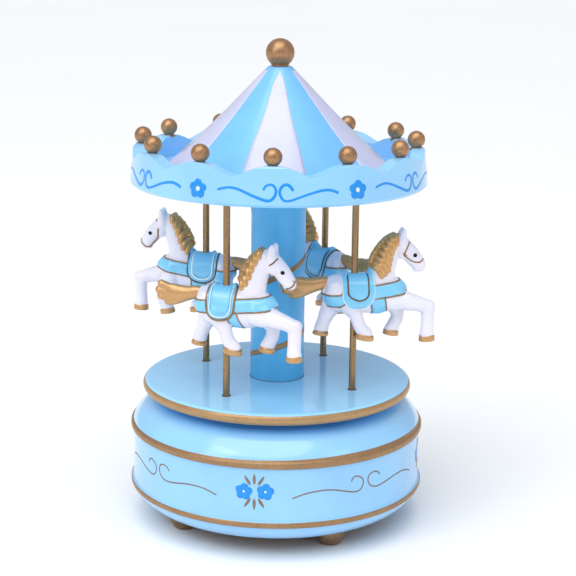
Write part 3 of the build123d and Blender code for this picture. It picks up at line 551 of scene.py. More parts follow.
def stroke(shell, surface, radius, theta0, path, width, top=0.05, across=5, ends=True, ease=25):
    """A brush line: path is (u, z), with u along the surface from theta0."""
    p = np.array(path, float)
    for _ in range(ease):
        p[1:-1] = (p[:-2] + 2 * p[1:-1] + p[2:]) / 4
    t = unit(np.gradient(p, axis=0))
    w = np.full(len(p), width / 2.0) if np.ndim(width) == 0 else np.asarray(width) / 2.0
    if ends:
        s = np.concatenate([[0], np.cumsum(np.linalg.norm(np.diff(p, axis=0), axis=1))])
        edge = np.minimum(s, s[-1] - s)
        w = w * np.sqrt(np.clip(1 - (1 - np.clip(edge / w, 0, 1)) ** 2, 0.02, 1))
    k = np.linspace(-1, 1, across)
    q = p[:, None] + (w[:, None] * k[None, :])[..., None] * np.stack([-t[:, 1], t[:, 0]], 1)[:, None]
    P, N = surface.grid(theta0 + np.degrees(q[..., 0] / radius), q[..., 1])
    slab(shell, P, N, top, 0.12, soft=False)


def disc(shell, surface, radius, theta0, z0, r_in, outline, top=0.05, turns=60, rings=4):
    """A filled shape round (theta0, z0), from r_in out to outline(angle)."""
    a = around(turns)
    outer = np.array([outline(x) for x in a])
    k = np.linspace(0, 1, rings)
    r = r_in + (outer[:, None] - r_in) * k[None, :]
    u, v = r * np.cos(a)[:, None], r * np.sin(a)[:, None]
    P, N = surface.grid(theta0 + np.degrees(u / radius), z0 + v)
    slab(shell, P, N, top, 0.12, wrap=True, soft=False)


def five_petals(reach, lobe, turn=90.0):
    def outline(a):
        d = (a - radians(turn) + pi / 5) % (2 * pi / 5) - pi / 5
        return reach * cos(d) + sqrt(max(lobe ** 2 - (reach * sin(d)) ** 2, 0.0))
    return outline


base_skin = Turned("base_body", 90.0)
rim_skin = Turned("canopy_ring", 90.0)
roof_skin = Turned("roof_cone", 90.0)
column_skin = Turned("centre_column", 30.0)


def wander(n, size, seed):
    """A closed slow wobble, for hand-painted edges."""
    r = random.Random(seed)
    a = around(n)
    return sum(size * r.uniform(0.3, 1.0) / k ** 0.5 * np.sin(k * a + r.uniform(0, 6.3))
               for k in (2, 3, 5, 9, 14, 23)) / 2.2


def band(name, surface, z_low, z_high, seed, top=0.06, look=None, body="base", swell=0.0):
    """A painted band round a turned piece, with slightly unsteady edges."""
    n = 288
    th = np.linspace(0, 360, n, endpoint=False)
    lo, hi = z_low + wander(n, 0.09, seed), z_high + wander(n, 0.09, seed + 1)
    hi = hi + swell * np.clip(np.cos(np.radians(th - 50.0)), 0, 1) ** 3
    k = np.linspace(0, 1, 27)
    z = lo[:, None] + (hi - lo)[:, None] * k[None, :]
    P, N = surface.grid(np.repeat(th[:, None], 27, 1), z)
    sh = Shell()
    slab(sh, P, N, top, 0.15, wrap=True)
    return piece(name, sh, look or M_BAND, body)


band("base_gilt_lower", base_skin, 13.25, 15.45, 11)
band("base_gilt_upper", base_skin, 35.1, 38.0, 21, top=0.09, swell=0.8)


def turntable_edge():
    """The gilded rounded edge of the turntable, from its underside round to the top face."""
    lo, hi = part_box("turntable")
    tree = tree_of(NODES["turntable"].data, TO_MM)
    z_mid = (lo.z + hi.z) * HALF_MM
    r_in = hi.x * TO_MM - 2.6
    n, m = 360, 21
    turn_in, turn_out = wander(n, 0.10, 31), wander(n, 0.08, 33)
    P, N = np.empty((n, m, 3)), np.empty((n, m, 3))
    for i in range(n):
        a = 2 * pi * i / n
        out = Vector((cos(a), sin(a), 0))
        centre = out * r_in + Vector((0, 0, z_mid))
        for j, e in enumerate(np.linspace(-78, 38, m)):
            e = radians(e + (turn_in[i] * 20 if j == m - 1 else 0) + (turn_out[i] * 16 if j == 0 else 0))
            ray = out * cos(e) + Vector((0, 0, sin(e)))
            hit, nrm, _, _ = tree.ray_cast(centre + ray * 9, -ray)
            P[i, j] = hit
            N[i, j] = nrm if nrm.dot(ray) > 0 else -nrm
    sh = Shell()
    slab(sh, P, N, 0.06, 0.15, wrap=True)
    piece("turntable_gilt_edge", sh, M_EDGE, "carousel")


turntable_edge()


# ---------------------------------------------------------------- rim decoration
RIM_R = 54.0
# left and right scroll of a pair: degrees from the pair's middle, height
RIM_LEFT = [(-22.3, 132.6), (-18.0, 133.8), (-14.2, 133.2), (-10.5, 131.8), (-6.0, 130.1), (-3.1, 129.6),
            (-1.0, 131.2), (-0.6, 133.3), (-1.4, 134.7), (-3.0, 135.1), (-4.6, 134.3), (-5.2, 133.0)]
RIM_RIGHT = [(22.2, 131.9), (20.4, 132.8), (17.3, 133.2), (12.7, 132.4), (8.3, 131.0), (3.6, 129.5),
             (1.5, 130.2), (0.6, 132.3), (1.0, 134.2), (2.6, 135.2), (4.3, 134.7), (5.4, 133.0)]


def by_hand(scroll, radius, r):
    """A scroll's (degrees, height) points as a brush path, each a little off its place."""
    return curve([(radians(d) * radius + r.uniform(-0.12, 0.12), z + r.uniform(-0.1, 0.1)) for d, z in scroll], 10)


def rim_decoration():
    blue, pale = Shell(), Shell()
    for k in range(6):
        turn = 60.0 * k
        r = random.Random(100 + k)
        z = 132.5 + r.uniform(-0.2, 0.2)
        disc(blue, rim_skin, RIM_R, -30.0 + turn, z, 0.82, five_petals(1.85, 1.52, 90 + r.uniform(-6, 6)))
        disc(pale, rim_skin, RIM_R, -30.0 + turn, z, 0.02, lambda a: 0.86, top=0.035, turns=24, rings=3)
        for scroll in (RIM_LEFT, RIM_RIGHT):
            path = by_hand(scroll, RIM_R, r)
            w = 0.90 + 0.12 * np.sin(np.linspace(0, 7, len(path)) + r.uniform(0, 6))
            stroke(blue, rim_skin, RIM_R, 0.1 + turn, path, w)
    piece("rim_print_blue", blue, M_PRINT, "carousel")
    piece("rim_print_centres", pale, M_PRINT_PALE, "carousel")


rim_decoration()

# ---------------------------------------------------------------- base decoration
WAIST_R = 53.9
BASE_LEFT = [(-30.6, 24.1), (-26.1, 25.6), (-21.4, 26.4), (-16.6, 26.5), (-11.5, 25.5), (-6.2, 24.1), (-2.9, 24.3),
             (-1.3, 26.3), (-1.6, 28.3), (-3.6, 29.8), (-5.9, 29.8), (-7.0, 28.1)]
BASE_RIGHT = [(29.6, 23.7), (25.2, 25.2), (20.8, 25.7), (15.2, 25.5), (9.8, 24.5), (5.0, 23.9), (1.8, 25.2),
              (0.8, 27.2), (1.5, 29.1), (3.7, 30.0), (6.0, 29.4), (7.0, 28.1)]


def leaf(length, width):
    half = np.linspace(0, 1, 12)
    return half * length, width * np.sin(np.pi * half ** 0.8) ** 0.7 + 0.08


def base_decoration():
    blue, pale, bronze = Shell(), Shell(), Shell()
    for k in range(4):
        turn = 90.0 * k
        r = random.Random(200 + k)
        for du in (-3.75, 3.9):
            th = -7.6 + turn + degrees(du / WAIST_R)
            z = 26.5 + r.uniform(-0.1, 0.15)
            disc(blue, base_skin, WAIST_R, th, z, 0.45, five_petals(1.7, 1.42, 90 + r.uniform(-12, 12)))
            disc(pale, base_skin, WAIST_R, th, z, 0.02, lambda a: 0.5, top=0.035, turns=20, rings=3)
        for up in (1, -1):
            for lean in (-1, 0, 1):
                z0 = 26.5 + up * 2.1 + (up * 0.5 if lean == 0 else up * 0.3)
                a = radians(90 - lean * 32) if up > 0 else radians(-90 + lean * 32)
                along, wide = leaf(4.1, 1.0)
                u0 = lean * 1.35
                path = np.stack([u0 + along * cos(a), z0 + along * sin(a)], 1)
                stroke(bronze, base_skin, WAIST_R, -7.6 + turn, path, wide, ends=False, ease=0)
        for scroll in (BASE_LEFT, BASE_RIGHT):
            stroke(bronze, base_skin, WAIST_R, (37.0, 37.2, 37.6, 38.2)[k] + turn, by_hand(scroll, WAIST_R, r), 0.5)
    piece("base_print_blue", blue, M_PRINT, "base")
    piece("base_print_centres", pale, M_PRINT_PALE, "base")
    piece("base_print_bronze", bronze, M_SCROLL, "base")


base_decoration()

# ---------------------------------------------------------------- column ribbon
COLUMN_R = 10.1


def column_ribbon():
    """The gilt ribbon wound round the column."""
    heights = [(-450, 40), (-270, 50.6), (-90, 61.6), (90, 72.2), (270, 86.2), (450, 100.9), (630, 117.2), (810, 135)]
    th = np.linspace(-440, 800, 420)
    z = np.interp(th, [h[0] for h in heights], [h[1] for h in heights])
    z = np.convolve(np.pad(z, 12, mode="edge"), np.ones(25) / 25, "valid")
    ok = (z > 55.5) & (z < 127.0)
    th, z = th[ok], z[ok]
    path = np.stack([np.radians(th) * COLUMN_R, z], 1)
    sh = Shell()
    stroke(sh, column_skin, COLUMN_R, 0.0, path, 2.1 + 0.15 * np.sin(th / 37.0), top=0.06, across=6)
    piece("column_ribbon", sh, M_BAND, "carousel")


column_ribbon()


# ---------------------------------------------------------------- roof gores
GORES = [(-18.9, 14.2, 0), (50.5, 86.5, 1), (122.0, 158.0, 1), (195.0, 231.0, 0), (269.5, 307.7, 1)]


def roof_gores():
    """Five white gores sprayed over the blue cone: some come to a point below the finial, some stay broad."""
    lo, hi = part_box("roof_cone")
    top, z_foot = hi.z * TO_MM, lo.z * TO_MM + 0.35
    sh = Shell()
    n, m = 64, 19
    for k, (first, last, broad) in enumerate(GORES):
        r = random.Random(300 + k)
        s = np.linspace(0, 1, n)
        z = top - 1.3 - (top - 1.3 - z_foot) * s ** 1.3
        taper = [0.95, 1, 1, 1, 1, 1, 1] if broad else [0.06, 0.35, 0.58, 0.80, 0.85, 1.0, 1.0]
        keep = np.interp(top - z, [1.3, 2.7, 3.7, 5.7, 12.7, 24.7, 40.0], taper)
        keep = np.convolve(np.pad(keep, 2, mode="edge"), np.ones(5) / 5, "valid")
        mid, half = (first + last) / 2 + (0 if broad else 4.0 * (1 - keep)), (last - first) / 2 * keep
        jit = [0.2 * sin(7 * x + r.uniform(0, 6)) for x in s]
        left, right = mid - half + jit, mid + half + np.roll(jit, 5)
        q = np.linspace(0, 1, m)
        th = left[:, None] + (right - left)[:, None] * q[None, :]
        P, N = roof_skin.grid(th, np.repeat(z[:, None], m, 1))
        slab(sh, P, N, 0.05, 0.15)
    piece("roof_white_gores", sh, M_WHITE_GORE, "carousel")


roof_gores()


# ---------------------------------------------------------------- balls
def ball(name, node, radius, neck, seed, cut=-60.0, collar=1.12):
    """A turned wooden ball on its peg: a soft flat at the neck, glue and paint gathered round the foot."""
    cx, cy = centre_mm(node)
    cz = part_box(node)[1].z * TO_MM - radius
    r = random.Random(seed)
    rows = []
    m = 48
    ang = around(m)
    lump = [r.uniform(0, 6.3) for _ in range(6)]
    for e in np.linspace(89, cut, 40):
        rr, zz = radius * cos(radians(e)), radius * sin(radians(e))
        wob = 1 + 0.006 * np.sin(2 * ang + lump[0]) * cos(radians(e)) + 0.004 * np.sin(5 * ang + lump[1])
        rows.append(np.stack([cx + rr * wob * np.cos(ang), cy + rr * wob * np.sin(ang), np.full(m, cz + zz)], 1))
    z_neck = cz + radius * sin(radians(cut))
    r_neck = radius * cos(radians(cut))
    for t, k in ((0.12, 0.94), (0.25, 0.95), (0.4, 1.02), (0.55, collar), (0.75, collar * 1.05), (1.0, collar)):
        rag = 1 + 0.12 * t * (collar > 1) * (np.sin(3 * ang + lump[2]) + 0.7 * np.sin(7 * ang + lump[3])
                                             + 0.5 * np.sin(11 * ang + lump[4]))
        rr = r_neck * k * rag
        rows.append(np.stack([cx + rr * np.cos(ang), cy + rr * np.sin(ang), np.full(m, z_neck - neck * t)], 1))
    sh = Shell()
    sh.grid(np.array(rows))
    piece(name, sh, M_BALL, "carousel", [node])


for k in range(12):
    ball("rim_finial_%02d" % (k + 1), "rim_ball_%02d" % (k + 1), 3.2, 1.15, 400 + k, -57.0, 1.2)
ball("top_finial", "finial_ball", 5.2, 0.9, 450, -50.0, 0.86)


# ---------------------------------------------------------------- horse moulding
BODY = [(-10.6, 0, 22.4, 2.0, 3.2), (-9.6, 0, 22.0, 4.0, 5.4), (-6.8, 0, 21.3, 5.2, 6.8), (-2.0, 0, 20.8, 5.1, 7.1),
        (4.0, 0, 20.8, 5.1, 7.1), (9.5, 0, 21.0, 5.1, 7.3), (13.6, 0, 21.4, 4.6, 6.2), (16.6, 0, 21.8, 3.5, 4.3),
        (18.0, 0, 22.0, 1.9, 2.4)]
NECK = [(8.0, 0, 19.5, 4.5, 7.0), (9.2, 0, 24.5, 4.3, 5.7), (10.6, 0, 30.6, 3.7, 4.5), (12.6, 0, 36.4, 3.2, 4.0),
        (14.6, 0, 40.6, 2.6, 2.9)]
HEAD = [(14.4, 0, 41.4, 1.8, 2.0), (15.9, 0, 40.0, 2.6, 3.0), (18.1, 0, 37.3, 2.95, 3.5), (20.6, 0, 34.9, 2.5, 3.2),
        (22.5, 0, 32.5, 2.2, 2.85), (24.0, 0, 30.6, 2.0, 2.35), (24.7, 0, 29.6, 1.3, 1.6)]
LEGS = [
    [(12.6, -2.4, 19.4, 4.5), (18.4, -2.9, 18.5, 3.6), (23.0, -3.2, 17.5, 2.85), (26.6, -3.2, 16.2, 2.6),
     (26.7, -3.2, 15.2, 2.5), (26.6, -3.2, 10.5, 2.4), (26.4, -3.2, 6.0, 2.5)],
    [(13.2, 2.6, 19.0, 3.9), (16.7, 3.1, 13.0, 2.4), (16.3, 3.15, 10.2, 2.45), (14.7, 3.2, 7.2, 2.45)],
    [(-2.6, -2.6, 18.4, 4.4), (0.4, -3.0, 13.8, 2.6), (1.2, -3.1, 10.9, 2.35), (2.3, -3.2, 8.4, 2.4),
     (4.1, -3.2, 7.0, 2.25)],
    [(-6.3, 2.4, 19.0, 4.6), (-9.4, 3.0, 13.0, 3.0), (-10.4, 3.1, 10.4, 2.55), (-11.3, 3.2, 8.2, 2.5)],
]
# hoof: centre of its top, direction down the leg, direction of the toe, length at the toe
HOOVES = [((26.3, -3.2, 5.6), (0.04, -0.99), (0.99, 0.04), 2.1),
          ((14.3, 3.2, 6.5), (-0.16, -0.98), (0.98, -0.16), 1.9),
          ((3.6, -3.2, 6.4), (-0.16, -0.99), (0.99, -0.16), 1.9),
          ((-11.7, 3.2, 7.0), (-0.12, -0.98), (0.98, -0.12), 1.3)]


def press(co, no, centre, sigma, depth):
    """Pushes the skin in (or out) round a point, softly."""
    d2 = ((co - np.array(centre)) ** 2).sum(1)
    return co - no * (depth * np.exp(-d2 / (2 * sigma ** 2)))[:, None]


def horse_body():
    sh = Shell()
    loft(sh, BODY, axis=(1, 0, 0))
    loft(sh, NECK, axis=(0.18, 0, 1))
    loft(sh, HEAD, axis=(0.55, 0, -0.83))
    for leg in LEGS:
        limb(sh, leg)
    for s in (-1, 1):
        blob(sh, (12.6, s * 2.2, 21.2), 3.9, 3.1, 4.6)
        capsule(sh, (16.9, s * 1.6, 39.6), (17.5, s * 1.95, 43.2), 2.0, 1.3)
        capsule(sh, (17.5, s * 1.95, 43.2), (17.5, s * 2.1, 44.3), 1.3, 0.7)
        blob(sh, (17.4, s * 1.4, 36.0), 2.3, 1.8, 2.4)
        blob(sh, (21.6, s * 1.7, 35.6), 1.1, 0.9, 1.2)
        blob(sh, (24.9, s * 1.0, 31.7), 1.1, 0.9, 1.2)
        blob(sh, (-6.8, s * 2.4, 22.0), 4.0, 3.2, 5.0)
    blob(sh, (22.6, 0, 29.7), 1.5, 1.3, 1.1)
    blob(sh, (27.0, -3.2, 16.6), 2.4, 2.3, 2.3)
    for (cx, cy, cz), _, (tx, tz), _ in HOOVES:
        blob(sh, (cx + 0.3 * tx, cy, cz + 0.5 + 0.3 * tz), 2.8, 2.35, 2.0)
    me = moulded(sh, "horse_moulding", 0.30, 12, 0.35)
    co, no = read(me), read(me, "normal")
    for s in (-1, 1):
        co = press(co, no, (18.6, s * 2.7, 42.4), 0.7, 0.5)
        co = press(co, no, (25.7, s * 1.5, 32.0), 0.38, 0.45)
        for t in np.linspace(0, 1, 5):
            co = press(co, no, (23.0 + 2.2 * t, s * 2.0, 29.6 + 0.9 * t), 0.3, 0.16)
        co = press(co, no, (19.4, s * 2.9, 33.4), 0.9, 0.35)
        co = press(co, no, (19.0, s * 2.9, 37.9), 0.8, 0.25)
        co = press(co, no, (14.8, s * 3.4, 35.0), 1.2, 0.3)
        co = press(co, no, (10.5, s * 4.6, 27.2), 1.6, 0.35)
    set_coords(me, co)
    return me


def horse_trunk():
    """The moulding without its lower legs, which straps and blankets lie on."""
    sh = Shell()
    loft(sh, BODY, axis=(1, 0, 0))
    loft(sh, NECK, axis=(0.18, 0, 1))
    for leg in LEGS[:2]:
        (ax, _, az, ar), (bx, by, bz, _) = leg[:2]
        limb(sh, [leg[0], (ax + 0.5 * (bx - ax), by, az + 0.5 * (bz - az), 0.9 * ar)])
    for leg in LEGS[2:]:
        limb(sh, [leg[0], (leg[0][0], leg[0][1], leg[0][2] - 0.5, leg[0][3] - 0.2)])
    for s in (-1, 1):
        blob(sh, (-6.8, s * 2.4, 22.0), 4.0, 3.2, 5.0)
        blob(sh, (12.6, s * 2.2, 21.2), 3.9, 3.1, 4.6)
    me = moulded(sh, "horse_trunk", 0.34, 12, 1.0)
    tree = tree_of(me)
    bpy.data.meshes.remove(me)
    return tree


HORSE_MESH = horse_body()
SKIN = tree_of(HORSE_MESH)
TRUNK = horse_trunk()
HORSE_MESH.transform(Matrix.Scale(MM, 4))
HORSE_MESH.update()


def cast(origin, aim, tree=None):
    """The moulding's surface where a ray meets it, or the nearest point."""
    tree = tree or SKIN
    o, d = Vector(origin), Vector(aim).normalized()
    hit, nrm, _, _ = tree.ray_cast(o, d)
    if hit is None:
        hit, nrm, _, _ = tree.find_nearest(o + d * 14)
    if nrm.dot(d) > 0:
        nrm = -nrm
    return np.array(hit), np.array(nrm)


def settle(N, rounds=2):
    """Evens out the normals over a grid, so thick paint sits smoothly."""
    N = np.array(N, float)
    for _ in range(rounds):
        M = N.copy()
        M[1:] += N[:-1]
        M[:-1] += N[1:]
        M[:, 1:] += N[:, :-1]
        M[:, :-1] += N[:, 1:]
        N = unit(M)
    return N


ROUND_Z, ROUND_HW, ROUND_HH = 20.8, 5.1, 7.1


def round_barrel(x, turn, belly=False):
    """A point on the barrel by its turn from the top, in degrees, positive on the left side."""
    y, z = sin(radians(turn)), cos(radians(turn))
    level = min(1.0, max(0.0, (abs(turn) - 40.0) / 30.0))
    if belly:
        level *= 1.0 - min(1.0, max(0.0, (abs(turn) - 115.0) / 30.0))
    aim_z = ROUND_Z + level * ROUND_HH * z
    far = (x, 4 * ROUND_HW * y, aim_z + (1 - level) * 4 * ROUND_HH * z)
    return cast(far, (0, -far[1], aim_z - far[2]), TRUNK if belly else SKIN)


def flap_turn(x, x0, x1, z_low, z_side=22.4, power=2.2):
    """How far round the barrel a U-shaped flap reaches at x."""
    s = abs((x - (x0 + x1) / 2) / ((x1 - x0) / 2))
    z = z_side + (z_low - z_side) * max(0.0, 1 - min(s, 1.0) ** power) ** (1 / power)
    return degrees(acos(max(-0.98, min(0.98, (z - ROUND_Z) / ROUND_HH))))


def flap(shell, x0, x1, z_low, thick, under=0.3):
    """A saddle flap or blanket, over the back and down both sides to a round bottom."""
    n, m = 41, 61
    P, N = np.empty((n, m, 3)), np.empty((n, m, 3))
    for i in range(n):
        x = (x0 + x1) / 2 - (x1 - x0) / 2 * cos(pi * i / (n - 1))
        reach = flap_turn(x, x0, x1, z_low)
        for j in range(m):
            P[i, j], N[i, j] = round_barrel(x, reach * (2 * j / (m - 1) - 1))
    slab(shell, P, settle(N), thick, under)


def flap_edge(x0, x1, z_low, lift, n=34):
    """The closed outline of a flap: points and normals for a trim line."""
    P, N = [], []
    for side in (1, -1):
        xs = [(x0 + x1) / 2 + (x1 - x0) / 2 * cos(pi * i / n) for i in range(n + 1)]
        first = [(x1, t) for t in np.linspace(0, flap_turn(x1, x0, x1, z_low), 9)[:-1]]
        last = [(x0, t) for t in np.linspace(flap_turn(x0, x0, x1, z_low), 0, 9)[1:]]
        run = first + [(x, flap_turn(x, x0, x1, z_low)) for x in xs] + last
        if side < 0:
            run = run[::-1]
        for x, t in run[:-1]:
            p, q = round_barrel(x, side * t)
            P.append(p + q * lift)
            N.append(q)
    P, N = np.array(P), np.array(N)
    for _ in range(2):
        N = unit(N + np.roll(N, 1, 0) + np.roll(N, -1, 0))
        P = (2 * P + np.roll(P, 1, 0) + np.roll(P, -1, 0)) / 4
    return P, N


def edges_of(P, N, thick, share):
    """Both long edges of a strap, raised by a share of its thickness, each with its normals."""
    P = P + N * thick * share
    return P[:, 0], N[:, 0], P[:, -1], N[:, -1]


def wrap_band(shell, mid_x, end_x, lows, highs, thick, n=49, m=7):
    """A band round the chest or rump: straight along both sides from end_x, then round the front or back
    about mid_x. lows and highs give its edges at the side's start, the side's end, and the middle."""
    sgn = 1.0 if mid_x > end_x else -1.0
    stations = []
    for i in range(n):
        s = 2.0 * i / (n - 1) - 1.0
        side = 1.0 if s < 0 else -1.0
        f = 1.0 - abs(s)
        if f < 0.42:
            x = end_x + (mid_x - end_x) * f / 0.42
            stations.append(((x, side * 20.0), (0.0, -side), f))
        else:
            a = radians(90.0 * (1 - (f - 0.42) / 0.58)) * side
            stations.append(((mid_x + sgn * 20 * cos(a), 20 * sin(a)), (-sgn * cos(a), -sin(a)), f))
    P, N = np.empty((n, m, 3)), np.empty((n, m, 3))
    for i, ((ox, oy), (dx, dy), f) in enumerate(stations):
        lo = np.interp(f, [0, 0.42, 1], lows)
        hi = np.interp(f, [0, 0.42, 1], highs)
        for j in range(m):
            P[i, j], N[i, j] = cast((ox, oy, lo + (hi - lo) * j / (m - 1)), (dx, dy, 0), TRUNK)
    N = settle(N)
    slab(shell, P, N, thick, 0.3)
    return edges_of(P, N, thick, 0.45)


def girth(shell, x_top, x_low, half, thick):
    n, m = 41, 6
    P, N = np.empty((n, m, 3)), np.empty((n, m, 3))
    for i in range(n):
        turn = 92.0 + 176.0 * i / (n - 1)
        k = 1 - abs(turn - 180.0) / 88.0
        mid = x_top + (x_low - x_top) * min(1.0, k * 1.6)
        for j in range(m):
            P[i, j], N[i, j] = round_barrel(mid + half * (2 * j / (m - 1) - 1), turn, True)
    N = settle(N)
    slab(shell, P, N, thick, 0.3)
    return edges_of(P, N, thick, 0.5)


def face_line(shell, points, side, width, lift=0.1):
    """A painted line on the head or neck: (x, z) points seen from that side."""
    pts = curve(points, 7)
    hits = [cast((x, side * 12.0, z), (0, -side, 0)) for x, z in pts]
    P = np.array([h[0] + h[1] * lift for h in hits])
    N = np.array([h[1] for h in hits])
    for _ in range(2):
        N[1:-1] = unit(N[1:-1] + N[:-2] + N[2:])
    tube(shell, P, width / 2, side=N, flat=0.45, sides=8)


def mane_mesh(back, front, count, thick=1.0):
    """Thick moulded locks lying forward and down from the crest, on both sides of the neck."""
    sh = Shell()
    back, front = curve(back, 16), curve(front, 16)
    for s in (-1, 1):
        for k in range(count):
            f = k / (count - 1) * (len(back) - 1)
            b, e = back[int(f)], front[int(f)]
            pts = []
            for t in np.linspace(0, 1, 9):
                bow = sin(pi * t)
                x = b[0] + (e[0] - b[0]) * t + 0.35 * bow
                z = b[1] + (e[1] - b[1]) * t + 0.75 * bow
                hit, _ = cast((x, s * 12.0, z), (0, -s, 0))
                on = abs(hit[0] - x) < 0.3 and abs(hit[2] - z) < 0.3
                y = max(abs(hit[1]) if on else 0.0, 0.7 + 2.2 * t)
                pts.append((x, s * (y + 0.15 * bow), z))
            r = np.interp(np.linspace(0, 1, 25), [0, 0.2, 0.65, 1], [0.9, 1.05, 1.1, 0.95]) * thick
            tube(sh, curve(pts, 3), r, sides=12, side=np.tile([0.3, s, 0.2], (25, 1)), flat=1.0)
    crest = [(x + 0.2, 0.0, z - 0.1) for x, z in back[::4]]
    tube(sh, curve(crest, 3), 1.15, sides=16)
    tube(sh, curve([(x + 1.6, 0.0, z - 0.8) for x, z in back[::4]], 3), 1.5, sides=16)
    me = moulded(sh, "mane_moulding", 0.17, 2, 0.4)
    me.transform(Matrix.Scale(MM, 4))
    return me


def tail_mesh():
    """The carved tail: a thick stem that swells into four locks."""
    sh = Shell()
    loft(sh, [(-8.4, 0, 25.0, 1.7, 2.2), (-11.6, 0, 25.0, 1.9, 2.5), (-16.0, 0, 24.1, 2.0, 2.9),
              (-19.5, 0, 23.9, 2.0, 3.5), (-22.0, 0, 24.0, 1.7, 3.4)], axis=(-1, 0, 0.0))
    ends = [(-25.0, 27.1, 1.5, 25.6), (-25.9, 24.8, 1.5, 24.6), (-25.2, 22.5, 1.45, 23.6), (-22.6, 20.6, 1.3, 22.6)]
    for x, z, r, z0 in ends:
        mid = ((-16.0 + x) / 2 - 0.6, (z0 + z) / 2 - 0.55)
        pts = curve([(-16.0, 0, z0), (mid[0], 0, mid[1]), (x, 0, z)], 8)
        tube(sh, pts, np.linspace(1.5, r, len(pts)), sides=14)
    me = moulded(sh, "tail_moulding", 0.24, 6, 0.5)
    me.transform(Matrix.Scale(MM, 4))
    return me


def hoof_mesh():
    """Four gilded hoof caps, longer to the toe, with a worn lip and a hollow sole."""
    sh = Shell()
    a = around(40)
    for k, ((cx, cy, cz), down, toe, height) in enumerate(HOOVES):
        d = unit(np.array([down[0], 0.0, down[1]]))
        u = unit(np.array([toe[0], 0.0, toe[1]]))
        v = np.array([0.0, 1.0, 0.0])
        rows = []
        for t, r in ((-0.02, 0.90), (0.0, 1.0), (0.15, 1.02), (0.5, 1.045), (0.86, 1.06), (0.95, 1.03), (1.0, 0.93),
                     (0.95, 0.8), (0.9, 0.4)):
            c = np.array([cx, cy, cz]) + d * (2.05 - height * (1 - t)) + u * 0.2
            lip = 0.22 * np.sin(2 * a + k) * (t < 0.1)
            rows.append(c + d * lip[:, None] + r * ((3.3 if k == 2 else 2.8) * np.cos(a)[:, None] * u
                                                    + 2.45 * np.sin(a)[:, None] * v))
        sh.grid(np.array(rows))
    return sh.mesh("hooves")


MANE = mane_mesh([(5.8, 31.4), (6.4, 34.6), (8.7, 38.4), (11.4, 41.2), (13.8, 42.4)],
                 [(9.4, 27.9), (11.8, 29.7), (12.4, 33.0), (13.4, 36.8), (14.6, 39.4)], 8)
SHORT_MANE = mane_mesh([(5.3, 31.6), (6.2, 34.6), (8.4, 38.2), (10.6, 40.7), (12.4, 42.0)],
                       [(6.9, 28.8), (8.9, 31.0), (10.1, 34.2), (11.3, 37.4), (12.8, 40.2)], 6, 1.12)
TAIL, HOOF = tail_mesh(), hoof_mesh()


def eye_mesh():
    sh = Shell()
    for s in (-1, 1):
        hit, nrm = cast((21.7, s * 12.0, 35.2), (0, -s, 0))
        u = unit(np.cross(nrm, [0, 0, 1.0]))
        v = np.cross(nrm, u)
        a = around(24)
        rows = [hit + nrm * h + r * (np.cos(a)[:, None] * u + np.sin(a)[:, None] * v)
                for r, h in ((0.74, -0.3), (0.76, 0.0), (0.70, 0.10), (0.5, 0.16), (0.25, 0.19), (0.02, 0.20))]
        sh.grid(np.array(rows))
    return sh.mesh("eyes")


EYES = eye_mesh()

# bridle styles: each line's paint, its (x, z) points on the head, its width, and its lift if not the usual one
BRIDLES = {
    "a": [(M_TRIM_DARK, [(19.6, 39.9), (18.2, 38.4), (17.0, 37.6)], 0.5),
          (M_TRIM, [(17.0, 34.6), (17.4, 33.2), (18.8, 32.0)], 0.55),
          (M_TRIM, [(22.8, 29.4), (24.1, 29.7), (25.4, 30.9), (25.8, 32.4)], 0.6)],
    "b": [(M_TRIM, [(18.4, 37.0), (18.5, 34.6), (19.2, 33.0), (20.6, 31.3), (22.0, 29.7)], 0.7),
          (M_TRIM, [(22.0, 29.7), (23.6, 29.8), (25.0, 31.2), (25.4, 32.6)], 0.6),
          (M_TRIM_DARK, [(19.6, 40.4), (19.2, 39.9)], 0.4)],
    "c": [(M_TRIM, [(19.6, 39.9), (18.6, 37.9), (17.6, 35.9)], 0.5),
          (M_TRIM, [(17.5, 35.6), (19.0, 34.1), (21.0, 32.9), (23.4, 32.6), (25.3, 33.9)], 0.5),
          (M_TRIM, [(17.5, 35.9), (18.0, 35.2)], 1.0, 0.15)],
}

